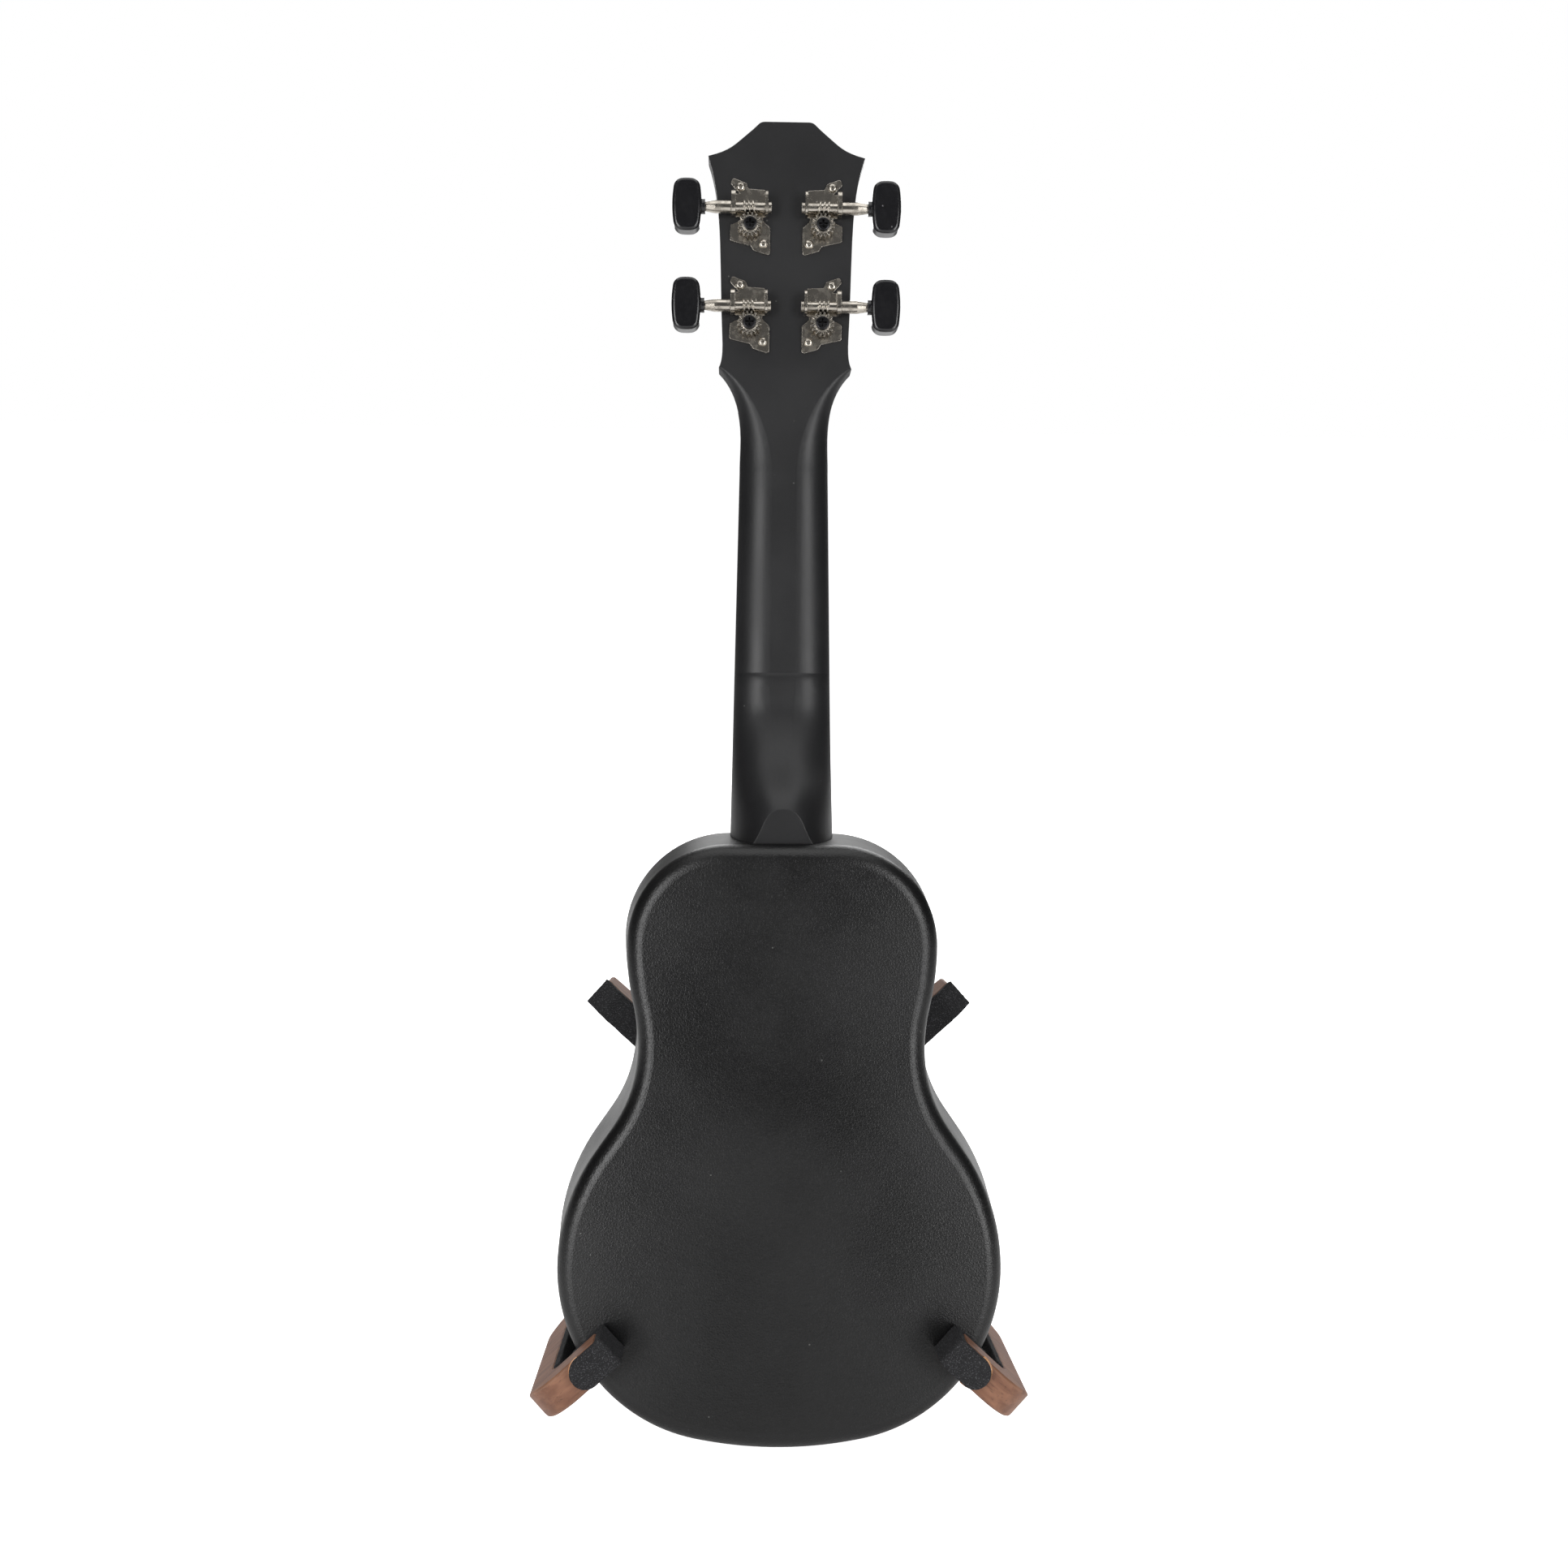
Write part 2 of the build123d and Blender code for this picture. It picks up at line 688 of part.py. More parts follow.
with BuildPart() as bushings:
    with BuildSketch(Plane.XZ.offset(-headstock_front_y)):
        with Locations(*posts):
            Circle(4.9)
    extrude(amount=-1)
    with BuildSketch(Plane.XZ.offset(-headstock_front_y)):
        with Locations(*posts):
            Circle(3.95)
    extrude(amount=4.9)
    with BuildSketch(Plane.XZ.offset(-(headstock_front_y + 1))):
        with Locations(*posts):
            Circle(post_radius + running_gap)
    extrude(amount=6, mode=Mode.SUBTRACT)
keep(bushings.part, "post_bushings")

with BuildPart() as drilled_neck:
    add(neck.part)
    with BuildSketch(Plane.XZ.offset(-headstock_back_y)):
        with Locations(*headstock_screws):
            Circle(1.05)
    extrude(amount=-8.5, mode=Mode.SUBTRACT)
keep(drilled_neck.part, "neck")

# ================================================================ cradle: two crossed arms
arm_cos = cos(radians(arm_angle))
arm_sin = sin(radians(arm_angle))


def arm_plane(side):
    """The middle plane of an arm, with its X along the arm and its Y along the ukulele's Y."""
    return Plane(
        origin=(0, 0, hub_z), x_dir=(side * arm_cos, 0, arm_sin), z_dir=(-arm_sin, 0, side * arm_cos)
    )


pad_land_y = body_depth + pad_gap + foam_thickness
pad_end_drop = 3.2
lap_gap = 0.1
arm_reach_s = arm_top_s + 20.0
arm_outline = (
    # along the arm, depth, corner radius
    (hook_bottom_s, hook_front_y, 20.0),
    (hook_bottom_s, arm_back_y, 42.0),
    (30.0, arm_back_y, 60.0),
    (arm_top_s, 79.0, 3.0),
    (arm_top_s, pad_land_y + pad_end_drop, 0.8),
    (pad_bend_s, pad_land_y, 3.0),
    (pad_start_s, pad_land_y, 5.0),
    (pad_start_s - 11.0, arm_front_y, 8.0),
    (throat_s, arm_front_y, 5.0),
    (throat_s, hook_inner_y, 5.0),
    (hook_tip_s, hook_inner_y, 1.0),
    (hook_tip_s, hook_front_y, 1.0),
)
cradle_screw_radius = 1.75
cradle_screw_s = 13.5
cradle_screws = [
    (side * arm_cos * s, hub_z + arm_sin * s)
    for side in (1, -1)
    for s in (-cradle_screw_s, cradle_screw_s)
]

# The left hook's arm keeps its front half where the two cross, and the right hook's its back half.
for side, name, cut_low, cut_high in (
    (1, "cradle_arm_left_hook", arm_lap_y - lap_gap / 2, arm_back_y + 5),
    (-1, "cradle_arm_right_hook", arm_front_y - 5, arm_lap_y + lap_gap / 2),
):
    with BuildPart() as arm:
        with BuildSketch(arm_plane(side)):
            with BuildLine():
                FilletPolyline(
                    *[(s, y) for s, y, _ in arm_outline],
                    radius=[radius for _, _, radius in arm_outline],
                    close=True,
                )
            make_face()
        extrude(amount=arm_thickness / 2, both=True)
        chamfer(arm.faces().filter_by(arm_plane(side)).edges(), 0.7)
        with BuildSketch(Plane.XZ.offset(-arm_back_y)):
            arm_middle = (hook_bottom_s + arm_reach_s) / 2
            with Locations((side * arm_cos * arm_middle, hub_z + arm_sin * arm_middle)):
                RectangleRounded(
                    arm_reach_s - hook_bottom_s, arm_thickness, hook_end_radius, rotation=side * arm_angle
                )
        extrude(amount=arm_back_y - hook_front_y, mode=Mode.INTERSECT)
        with BuildSketch(arm_plane(-side)):
            with Locations((0, (cut_low + cut_high) / 2)):
                Rectangle(40, cut_high - cut_low)
        extrude(amount=arm_thickness / 2 + lap_gap, both=True, mode=Mode.SUBTRACT)
        with BuildSketch(Plane.XZ.offset(-arm_back_y)):
            with Locations((0, hub_z)):
                Circle(hub_bolt_radius + 0.1)
        extrude(amount=40, mode=Mode.SUBTRACT)
        with BuildSketch(Plane.XZ.offset(-arm_back_y)):
            with Locations(*cradle_screws):
                Circle(cradle_screw_radius + screw_clearance)
        extrude(amount=12.5, mode=Mode.SUBTRACT)
    keep(arm.part, name)

# ---------------------------------------------------------------- foam on the arms
pad_slope = atan2(pad_end_drop, arm_top_s - pad_bend_s)
with BuildPart() as upper_pads:
    for side in (1, -1):
        with BuildSketch(arm_plane(side)):
            with BuildLine():
                Polyline(
                    (pad_start_s + 6, pad_land_y),
                    (pad_bend_s, pad_land_y),
                    (arm_top_s, pad_land_y + pad_end_drop),
                    (
                        arm_top_s + foam_thickness * sin(pad_slope),
                        pad_land_y + pad_end_drop - foam_thickness * cos(pad_slope),
                    ),
                    (pad_bend_s + foam_thickness * tan(pad_slope / 2), pad_land_y - foam_thickness),
                    (pad_start_s + 6, pad_land_y - foam_thickness),
                    close=True,
                )
            make_face()
        extrude(amount=arm_thickness / 2 - 0.1, both=True)
keep(upper_pads.part, "upper_pads")

hook_pad_length = 19.0
hook_pad_inner_length = 16.0
for side, name in ((1, "left"), (-1, "right")):
    tip_s = hook_tip_s + foam_thickness
    half = arm_thickness / 2 - 0.1
    with BuildPart() as hook_pad:
        with BuildSketch(arm_plane(side)):
            with BuildLine():
                FilletPolyline(
                    (tip_s - hook_pad_inner_length, hook_inner_y),
                    (hook_tip_s, hook_inner_y),
                    (hook_tip_s, hook_front_y),
                    (hook_tip_s - 1, hook_front_y),
                    (hook_tip_s - 1, hook_front_y - foam_thickness),
                    (tip_s, hook_front_y - foam_thickness),
                    (tip_s, hook_inner_y + foam_thickness),
                    (tip_s - hook_pad_inner_length, hook_inner_y + foam_thickness),
                    radius=[0, 0, 0, 0, 1.5, 1.5, 0, 0],
                    close=True,
                )
            make_face()
        extrude(amount=half, both=True)
        front_plane = Plane(
            origin=(0, hook_front_y, hub_z), x_dir=(side * arm_cos, 0, arm_sin), z_dir=(0, -1, 0)
        )
        with BuildSketch(front_plane):
            straight = hook_pad_length - half
            with Locations((tip_s - 2 - (straight - 2) / 2, 0)):
                Rectangle(straight - 2, 2 * half)
            with Locations((tip_s - straight, 0)):
                Circle(half)
        extrude(amount=foam_thickness)
    keep(hook_pad.part, f"hook_pad_{name}")

with BuildPart() as throat_pads:
    for side in (1, -1):
        with BuildSketch(arm_plane(side)):
            with Locations((throat_s + foam_thickness / 2, (hook_inner_y + arm_front_y) / 2)):
                Rectangle(foam_thickness, arm_front_y - hook_inner_y - 10.2)
        extrude(amount=arm_thickness / 2 - 0.1, both=True)
keep(throat_pads.part, "throat_pads")

# ---------------------------------------------------------------- hub bolt, washer and knob
with BuildPart() as hub_bolt:
    with BuildSketch(Plane.XZ.offset(-arm_front_y)):
        with Locations((0, hub_z)):
            Circle(6.5)
    extrude(amount=3)
    fillet(hub_bolt.edges().group_by(Axis.Y)[0], 2.4)
    with BuildSketch(Plane.XZ.offset(-arm_front_y)):
        with Locations((0, hub_z)):
            Circle(hub_bolt_radius)
    extrude(amount=-(spine_back_y - arm_front_y + 13))
    chamfer(hub_bolt.edges().group_by(Axis.Y)[-1], 0.6)
keep(hub_bolt.part, "hub_bolt")

with BuildPart() as hub_washer:
    with BuildSketch(Plane.XZ.offset(-spine_back_y)):
        with Locations((0, hub_z)):
            Circle(8)
            Circle(hub_bolt_radius + 0.1, mode=Mode.SUBTRACT)
    extrude(amount=-1.2)
keep(hub_washer.part, "hub_washer")

knob_lobes = 5
with BuildPart() as hub_knob:
    with BuildSketch(Plane.XZ.offset(-(spine_back_y + 1.3))):
        with Locations((0, hub_z)):
            Circle(9.2)
            with PolarLocations(8.6, knob_lobes):
                Circle(3.2)
            Circle(hub_bolt_radius + running_gap, mode=Mode.SUBTRACT)
    extrude(amount=-11)
keep(hub_knob.part, "hub_knob")

# ================================================================ spine and base
tilted = Pos(0, 0, floor_gap) * Rot(X=-lean_angle)
hinge_screw_radius = 1.4
hinge_screws = [(x, hinge_z + z) for x in (-8, 8) for z in (-7.5, 7.5)]

with BuildPart() as spine_board:
    with BuildSketch(Plane.XZ.offset(-arm_back_y)):
        with Locations((0, spine_top_z / 2 - 10)):
            Rectangle(2 * spine_half_width, spine_top_z + 20)
    extrude(amount=-spine_thickness)
    fillet(spine_board.edges().filter_by(Axis.Y).group_by(Axis.Z)[-1], 12.0)
    chamfer(spine_board.faces().filter_by(Axis.Y).edges(), 1.0)
    with BuildSketch(Plane.XZ.offset(-arm_back_y)):
        with Locations((0, hub_z)):
            Circle(hub_bolt_radius + 0.1)
        with Locations(*cradle_screws):
            Circle(cradle_screw_radius + screw_clearance)
    extrude(amount=-spine_thickness, mode=Mode.SUBTRACT)
    for x, z in cradle_screws:
        with Locations((x, spine_back_y - 1.0, z)):
            Cone(1.8, 3.4, 2.0, rotation=(-90, 0, 0), mode=Mode.SUBTRACT)
    with BuildSketch(Plane.XZ.offset(-spine_back_y)):
        with Locations(*hinge_screws):
            Circle(hinge_screw_radius + screw_clearance)
    extrude(amount=10, mode=Mode.SUBTRACT)

with BuildPart() as cradle_screw_set:
    for x, z in cradle_screws:
        with Locations((x, spine_back_y - 1.05, z)):
            Cone(1.7, 3.3, 1.9, rotation=(-90, 0, 0))
    with BuildSketch(Plane.XZ.offset(-(spine_back_y - 1.8))):
        with Locations(*cradle_screws):
            Circle(cradle_screw_radius)
    extrude(amount=24)
    with BuildSketch(Plane.XZ.offset(-spine_back_y)):
        with Locations(*cradle_screws):
            Rectangle(3.2, 0.8)
            Rectangle(0.8, 3.2)
    extrude(amount=1, mode=Mode.SUBTRACT)
keep(cradle_screw_set.part, "cradle_screws")

base_screw_radius = 2.0
base_screws = [(x, y) for x in (-28, 28) for y in (72, 104)] + [(-10, 98), (10, 98)]
base_screw_length = 20.0

with BuildPart() as base_screw_holes:
    with BuildSketch(Plane.XY.offset(rubber_thickness)):
        with Locations(*base_screws):
            Circle(base_screw_radius + screw_clearance)
    extrude(amount=base_screw_length + 1)

with BuildPart() as spine:
    add(tilted * spine_board.part)
    with Locations((0, 100, plate_top - 30)):
        Box(120, 120, 60, mode=Mode.SUBTRACT)
    add(base_screw_holes.part, mode=Mode.SUBTRACT)
keep(spine.part, "spine", upright)

base_middle_y = (base_front_y + base_back_y) / 2
with BuildPart() as base_block:
    with BuildSketch(Plane.XY.offset(plate_top)):
        with Locations((0, base_middle_y)):
            RectangleRounded(2 * base_half_width, base_back_y - base_front_y, 5)
    extrude(amount=base_top - plate_top)
    fillet(base_block.edges().group_by(Axis.Z)[-1], 2.0)
    add(tilted * spine_board.part, mode=Mode.SUBTRACT)
    add(base_screw_holes.part, mode=Mode.SUBTRACT)
keep(base_block.part, "base_block", upright)

with BuildPart() as base_plate:
    with BuildSketch(Plane.XY.offset(rubber_thickness)):
        with Locations((0, (front_edge_y + base_back_y) / 2)):
            RectangleRounded(2 * base_half_width, base_back_y - front_edge_y, 8)
    extrude(amount=plate_top - rubber_thickness)
    add(base_screw_holes.part, mode=Mode.SUBTRACT)
    for x, y in base_screws:
        with Locations((x, y, rubber_thickness + 1)):
            Cone(3.9, 2.05, 2.0, mode=Mode.SUBTRACT)
keep(base_plate.part, "base_plate", upright)

with BuildPart() as base_screw_set:
    for x, y in base_screws:
        with Locations((x, y, rubber_thickness + 1)):
            Cone(3.8, 2.0, 1.95)
    with BuildSketch(Plane.XY.offset(rubber_thickness + 1.9)):
        with Locations(*base_screws):
            Circle(base_screw_radius)
    extrude(amount=base_screw_length - rubber_thickness - 1.9)
    with BuildSketch(Plane.XY.offset(rubber_thickness)):
        with Locations(*base_screws):
            Rectangle(3.8, 0.9)
            Rectangle(0.9, 3.8)
    extrude(amount=1, mode=Mode.SUBTRACT)
keep(base_screw_set.part, "base_screws", upright)

with BuildPart() as rubber_mat:
    with BuildSketch():
        with Locations((0, (front_edge_y + base_back_y) / 2)):
            RectangleRounded(2 * base_half_width - 4, base_back_y - front_edge_y - 4, 6)
    extrude(amount=rubber_thickness)
keep(rubber_mat.part, "rubber_mat_front", upright)

# ================================================================ hinge and rear leg
with BuildPart() as hinge_bracket:
    with BuildSketch(Plane.YZ.offset(-12)):
        with Locations((spine_back_y + 1, hinge_z)):
            Rectangle(2, 21)
        with Locations((spine_back_y + hinge_offset / 2, hinge_z)):
            Rectangle(hinge_offset, 7)
        with Locations((hinge_y, hinge_z)):
            Circle(3.5)
            Circle(hinge_pin_radius + 0.02, mode=Mode.SUBTRACT)
    extrude(amount=24)
    with BuildSketch(Plane.XZ.offset(-spine_back_y)):
        with Locations(*hinge_screws):
            Circle(hinge_screw_radius + screw_clearance)
    extrude(amount=-2, mode=Mode.SUBTRACT)
keep(hinge_bracket.part, "hinge_bracket")

with BuildPart() as hinge_screw_set:
    with BuildSketch(Plane.XZ.offset(-(spine_back_y + 2))):
        with Locations(*hinge_screws):
            Circle(2.5)
    extrude(amount=-1.4)
    fillet(hinge_screw_set.edges().group_by(Axis.Y)[-1], 0.8)
    with BuildSketch(Plane.XZ.offset(-(spine_back_y + 2))):
        with Locations(*hinge_screws):
            Circle(hinge_screw_radius)
    extrude(amount=11)
keep(hinge_screw_set.part, "hinge_screws")

with BuildPart() as hinge_pin:
    with BuildSketch(Plane.YZ.offset(-leg_inner_x - leg_thickness - 0.3)):
        with Locations((hinge_y, hinge_z)):
            Circle(hinge_pin_radius)
    extrude(amount=2 * (leg_inner_x + leg_thickness + 0.3))
    for side in (-1, 1):
        with BuildSketch(Plane.YZ.offset(side * (leg_inner_x + leg_thickness + 0.3))):
            with Locations((hinge_y, hinge_z)):
                Circle(3.4)
        extrude(amount=side * 1.2)
keep(hinge_pin.part, "hinge_pin")

pivot = (tilted * Pos(0, hinge_y, hinge_z)).position
leg_cos = cos(radians(leg_angle))
leg_sin = sin(radians(leg_angle))
opened = radians(leg_angle + lean_angle)
rear_bar_top = rubber_thickness + rear_bar_height
stop_distance = hinge_offset - leg_stop_gap


def leg_foot_z(y):
    """The leg's low end is cut level with the floor, where it stands on the foot bar."""
    return (rear_bar_top - pivot.Z - y * leg_sin) / leg_cos


def leg_stop_z(y):
    """The leg's top is bevelled: when the leg is open, the bevel lies against the spine."""
    return (stop_distance + y * cos(opened)) / sin(opened)


leg_top_z = 14.0
leg_top_y = (leg_top_z * sin(opened) - stop_distance) / cos(opened)
leg_middle = (leg_front + leg_back) / 2
foot_y = pivot.Y + leg_middle * leg_cos - leg_foot_z(leg_middle) * leg_sin
rear_screw_x = leg_inner_x + leg_thickness / 2
rear_screws = [(-rear_screw_x, foot_y), (rear_screw_x, foot_y)]
for side, name in ((-1, "left"), (1, "right")):
    with BuildPart() as rear_leg:
        with BuildSketch(Plane.YZ.offset(side * leg_inner_x)):
            with BuildLine():
                Polyline(
                    (leg_front, leg_foot_z(leg_front)),
                    (leg_front, leg_stop_z(leg_front)),
                    (leg_top_y, leg_top_z),
                    (leg_back, leg_top_z),
                    (leg_back, leg_foot_z(leg_back)),
                    close=True,
                )
            make_face()
            Circle(hinge_pin_radius + running_gap, mode=Mode.SUBTRACT)
        extrude(amount=side * leg_thickness)
    with BuildPart() as drilled_leg:
        add(Pos(*pivot) * Rot(X=leg_angle) * rear_leg.part)
        with BuildSketch(Plane.XY.offset(rear_bar_top)):
            with Locations(*rear_screws):
                Circle(base_screw_radius + screw_clearance)
        extrude(amount=12, mode=Mode.SUBTRACT)
    keep(drilled_leg.part, f"rear_leg_{name}", upright)

with BuildPart() as rear_bar:
    with BuildSketch(Plane.XY.offset(rubber_thickness)):
        with Locations((0, foot_y)):
            RectangleRounded(2 * rear_bar_half, 21, 6)
    extrude(amount=rear_bar_height)
    chamfer(rear_bar.edges().group_by(Axis.Z)[-1], 1.0)
    with BuildSketch(Plane.XY.offset(rubber_thickness)):
        with Locations(*rear_screws):
            Circle(base_screw_radius + screw_clearance)
    extrude(amount=rear_bar_height, mode=Mode.SUBTRACT)
keep(rear_bar.part, "rear_bar", upright)

with BuildPart() as rear_feet:
    with BuildSketch():
        with Locations((-58, foot_y), (58, foot_y)):
            Circle(7)
    extrude(amount=rubber_thickness)
keep(rear_feet.part, "rubber_feet_rear", upright)

with BuildPart() as rear_screw_set:
    with BuildSketch(Plane.XY.offset(rubber_thickness + 1)):
        with Locations(*rear_screws):
            Circle(base_screw_radius)
    extrude(amount=rear_bar_height + 11)
    with BuildSketch(Plane.XY.offset(rubber_thickness + 1)):
        with Locations(*rear_screws):
            Circle(base_screw_radius)
            Rectangle(2.6, 0.8, mode=Mode.SUBTRACT)
            Rectangle(0.8, 2.6, mode=Mode.SUBTRACT)
    extrude(amount=-0.8)
keep(rear_screw_set.part, "rear_leg_screws", upright)
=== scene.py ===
import json
import math

import bmesh
import bpy
from mathutils import Matrix, Vector, noise


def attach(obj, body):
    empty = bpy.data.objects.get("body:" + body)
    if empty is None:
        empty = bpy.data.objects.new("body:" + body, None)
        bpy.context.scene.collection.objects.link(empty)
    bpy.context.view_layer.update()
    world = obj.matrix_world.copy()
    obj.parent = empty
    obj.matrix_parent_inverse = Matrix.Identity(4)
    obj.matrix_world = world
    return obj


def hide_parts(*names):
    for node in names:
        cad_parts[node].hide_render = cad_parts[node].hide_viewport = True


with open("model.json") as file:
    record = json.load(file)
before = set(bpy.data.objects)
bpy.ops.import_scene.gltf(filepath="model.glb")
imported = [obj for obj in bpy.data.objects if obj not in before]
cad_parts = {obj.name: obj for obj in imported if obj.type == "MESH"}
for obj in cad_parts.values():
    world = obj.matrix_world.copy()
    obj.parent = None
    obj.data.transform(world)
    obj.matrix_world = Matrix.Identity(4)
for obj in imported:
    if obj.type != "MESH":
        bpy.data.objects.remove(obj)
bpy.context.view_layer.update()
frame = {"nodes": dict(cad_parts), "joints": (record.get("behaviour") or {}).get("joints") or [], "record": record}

nodes = frame["nodes"]
joints = {joint["name"]: joint for joint in frame["joints"]}

# The ukulele and the cradle lean together. Their own axes are across, depth (from the back to the
# soundboard) and up (along the neck).
upAxis = Vector(joints["lift_off"]["axis"]).normalized()
depthAxis = Vector(joints["post_lower_left_turn"]["axis"]).normalized()
acrossAxis = depthAxis.cross(upAxis)
leanMatrix = Matrix((acrossAxis, depthAxis, upAxis)).transposed().to_4x4()
mm = 0.001
armAngle = math.radians(42.2)  # how far the crossed arms rise from level
corners = ("lower_left", "lower_right", "upper_left", "upper_right")


def toLean(point):
    return leanMatrix.inverted() @ Vector(point)


def leanBox(name):
    places = [toLean(vertex.co) for vertex in nodes[name].data.vertices]
    low = Vector([min(place[i] for place in places) for i in range(3)])
    high = Vector([max(place[i] for place in places) for i in range(3)])
    return low, high


bodyLow = leanBox("body_shell")[0]
print("frame loaded:", len(nodes), "pieces")


# Small helpers for node trees
def addNode(tree, kind, inputs=None, **settings):
    made = tree.nodes.new(kind)
    for name, value in settings.items():
        setattr(made, name, value)
    for name, value in (inputs or {}).items():
        if isinstance(value, bpy.types.NodeSocket):
            tree.links.new(value, made.inputs[name])
        else:
            made.inputs[name].default_value = value
    return made


def newTree(name, kind, inputs, outputs):
    tree = bpy.data.node_groups.new(name, kind)
    for label, socketKind, value in inputs:
        socket = tree.interface.new_socket(label, in_out="INPUT", socket_type=socketKind)
        if value is not None:
            socket.default_value = value
    for label, socketKind in outputs:
        tree.interface.new_socket(label, in_out="OUTPUT", socket_type=socketKind)
    return tree, tree.nodes.new("NodeGroupInput").outputs, tree.nodes.new("NodeGroupOutput").inputs


def maths(tree, operation, first, second=0.0):
    return addNode(tree, "ShaderNodeMath", {0: first, 1: second}, operation=operation).outputs[0]


def vectorMaths(tree, operation, first, second):
    made = addNode(tree, "ShaderNodeVectorMath", {0: first, 1: second}, operation=operation)
    return made.outputs["Value" if operation == "DOT_PRODUCT" else "Vector"]


def fadeRange(tree, value, low, high):
    wanted = {"Value": value, "From Min": low, "From Max": high}
    return addNode(tree, "ShaderNodeMapRange", wanted, interpolation_type="SMOOTHSTEP").outputs[0]


def blendColour(tree, factor, first, second):
    made = addNode(tree, "ShaderNodeMix", {"Factor": factor}, data_type="RGBA")
    for index, value in ((6, first), (7, second)):
        if isinstance(value, bpy.types.NodeSocket):
            tree.links.new(value, made.inputs[index])
        else:
            made.inputs[index].default_value = (*value, 1.0)
    return made.outputs[2]


def blendValue(tree, factor, first, second):
    return addNode(tree, "ShaderNodeMix", {0: factor, 2: first, 3: second}, data_type="FLOAT").outputs[0]


def noiseTexture(tree, vector, scale, detail=2.0, **others):
    inputs = {"Vector": vector, "Scale": scale, "Detail": detail, **others}
    return addNode(tree, "ShaderNodeTexNoise", inputs).outputs


def cellTexture(tree, vector, scale, feature="F1"):
    return addNode(tree, "ShaderNodeTexVoronoi", {"Vector": vector, "Scale": scale}, feature=feature).outputs


floatKind, vectorKind = "NodeSocketFloat", "NodeSocketVector"


# Shared surface effects
leatherShape = {"warp": 1.1, "pebbleEdge": 0.32, "fineness": 3.1, "fineDetail": 3.0, "speck": (0.56, 0.74)}


def makeLeatherGrain():
    inputs = [("Vector", vectorKind, None), ("Cell", floatKind, 1.0), ("Fine", floatKind, 0.3)]
    outputs = [("Height", floatKind), ("Speck", floatKind)]
    tree, given, out = newTree("leatherGrain", "ShaderNodeTree", inputs, outputs)
    scale = maths(tree, "DIVIDE", 1000.0, given["Cell"])
    warp = noiseTexture(tree, given["Vector"], scale)
    shift = vectorMaths(tree, "MULTIPLY", warp["Color"], [leatherShape["warp"] * mm] * 3)
    bent = vectorMaths(tree, "ADD", given["Vector"], shift)
    cells = cellTexture(tree, bent, scale, "DISTANCE_TO_EDGE")
    pebble = fadeRange(tree, cells["Distance"], 0.0, leatherShape["pebbleEdge"])
    fineScale = maths(tree, "MULTIPLY", scale, leatherShape["fineness"])
    fine = noiseTexture(tree, given["Vector"], fineScale, leatherShape["fineDetail"])
    tree.links.new(blendValue(tree, given["Fine"], pebble, fine[0]), out["Height"])
    tree.links.new(fadeRange(tree, fine[0], *leatherShape["speck"]), out["Speck"])
    return tree


softEdgeShape = {"samples": 4, "maskFrom": 0.01, "maskTo": 0.16}


def makeSoftEdges():
    inputs = [("Radius", floatKind, 0.4)]
    outputs = [("Normal", vectorKind), ("Mask", floatKind)]
    tree, given, out = newTree("softEdges", "ShaderNodeTree", inputs, outputs)
    radius = maths(tree, "MULTIPLY", given["Radius"], mm)
    samples = softEdgeShape["samples"]
    rounded = addNode(tree, "ShaderNodeBevel", {"Radius": radius}, samples=samples).outputs[0]
    flat = addNode(tree, "ShaderNodeNewGeometry").outputs["Normal"]
    turn = maths(tree, "SUBTRACT", 1.0, vectorMaths(tree, "DOT_PRODUCT", rounded, flat))
    tree.links.new(rounded, out["Normal"])
    tree.links.new(fadeRange(tree, turn, softEdgeShape["maskFrom"], softEdgeShape["maskTo"]), out["Mask"])
    return tree


# Broad patches of use, and a few specks of dust: cells whose own random colour is high enough.
handlingShape = {
    "patches": (0.35, 0.68), "patchDetail": 4.0,
    "dustScale": 260.0, "dustReach": 0.11, "dustSoft": 0.05, "dustChance": (0.955, 0.965),
}


def makeHandling():
    inputs = [("Vector", vectorKind, None), ("Size", floatKind, 40.0)]
    outputs = [("Patches", floatKind), ("Dust", floatKind)]
    tree, given, out = newTree("handling", "ShaderNodeTree", inputs, outputs)
    scale = maths(tree, "DIVIDE", 1000.0, given["Size"])
    broad = noiseTexture(tree, given["Vector"], scale, handlingShape["patchDetail"])
    tree.links.new(fadeRange(tree, broad[0], *handlingShape["patches"]), out["Patches"])
    motes = cellTexture(tree, given["Vector"], handlingShape["dustScale"])
    reach = maths(tree, "SUBTRACT", handlingShape["dustReach"], motes["Distance"])
    near = fadeRange(tree, reach, 0.0, handlingShape["dustSoft"])
    luck = addNode(tree, "ShaderNodeSeparateColor", {"Color": motes["Color"]}).outputs[0]
    chosen = fadeRange(tree, luck, *handlingShape["dustChance"])
    tree.links.new(maths(tree, "MULTIPLY", near, chosen), out["Dust"])
    return tree


# Each share along the grain stretches its pattern: the smaller, the longer the streaks.
grainShape = {
    "streakAlong": 0.07, "streakDetail": 5.0, "streakDistortion": 0.4, "streakShare": 0.62,
    "broadAlong": 0.2, "broadScale": 0.13, "tone": (0.36, 0.66),
    "poreAlong": 0.11, "poreScale": 4.2, "pores": (0.6, 0.7), "fibreScale": 3.0, "fibreDetail": 3.0,
}


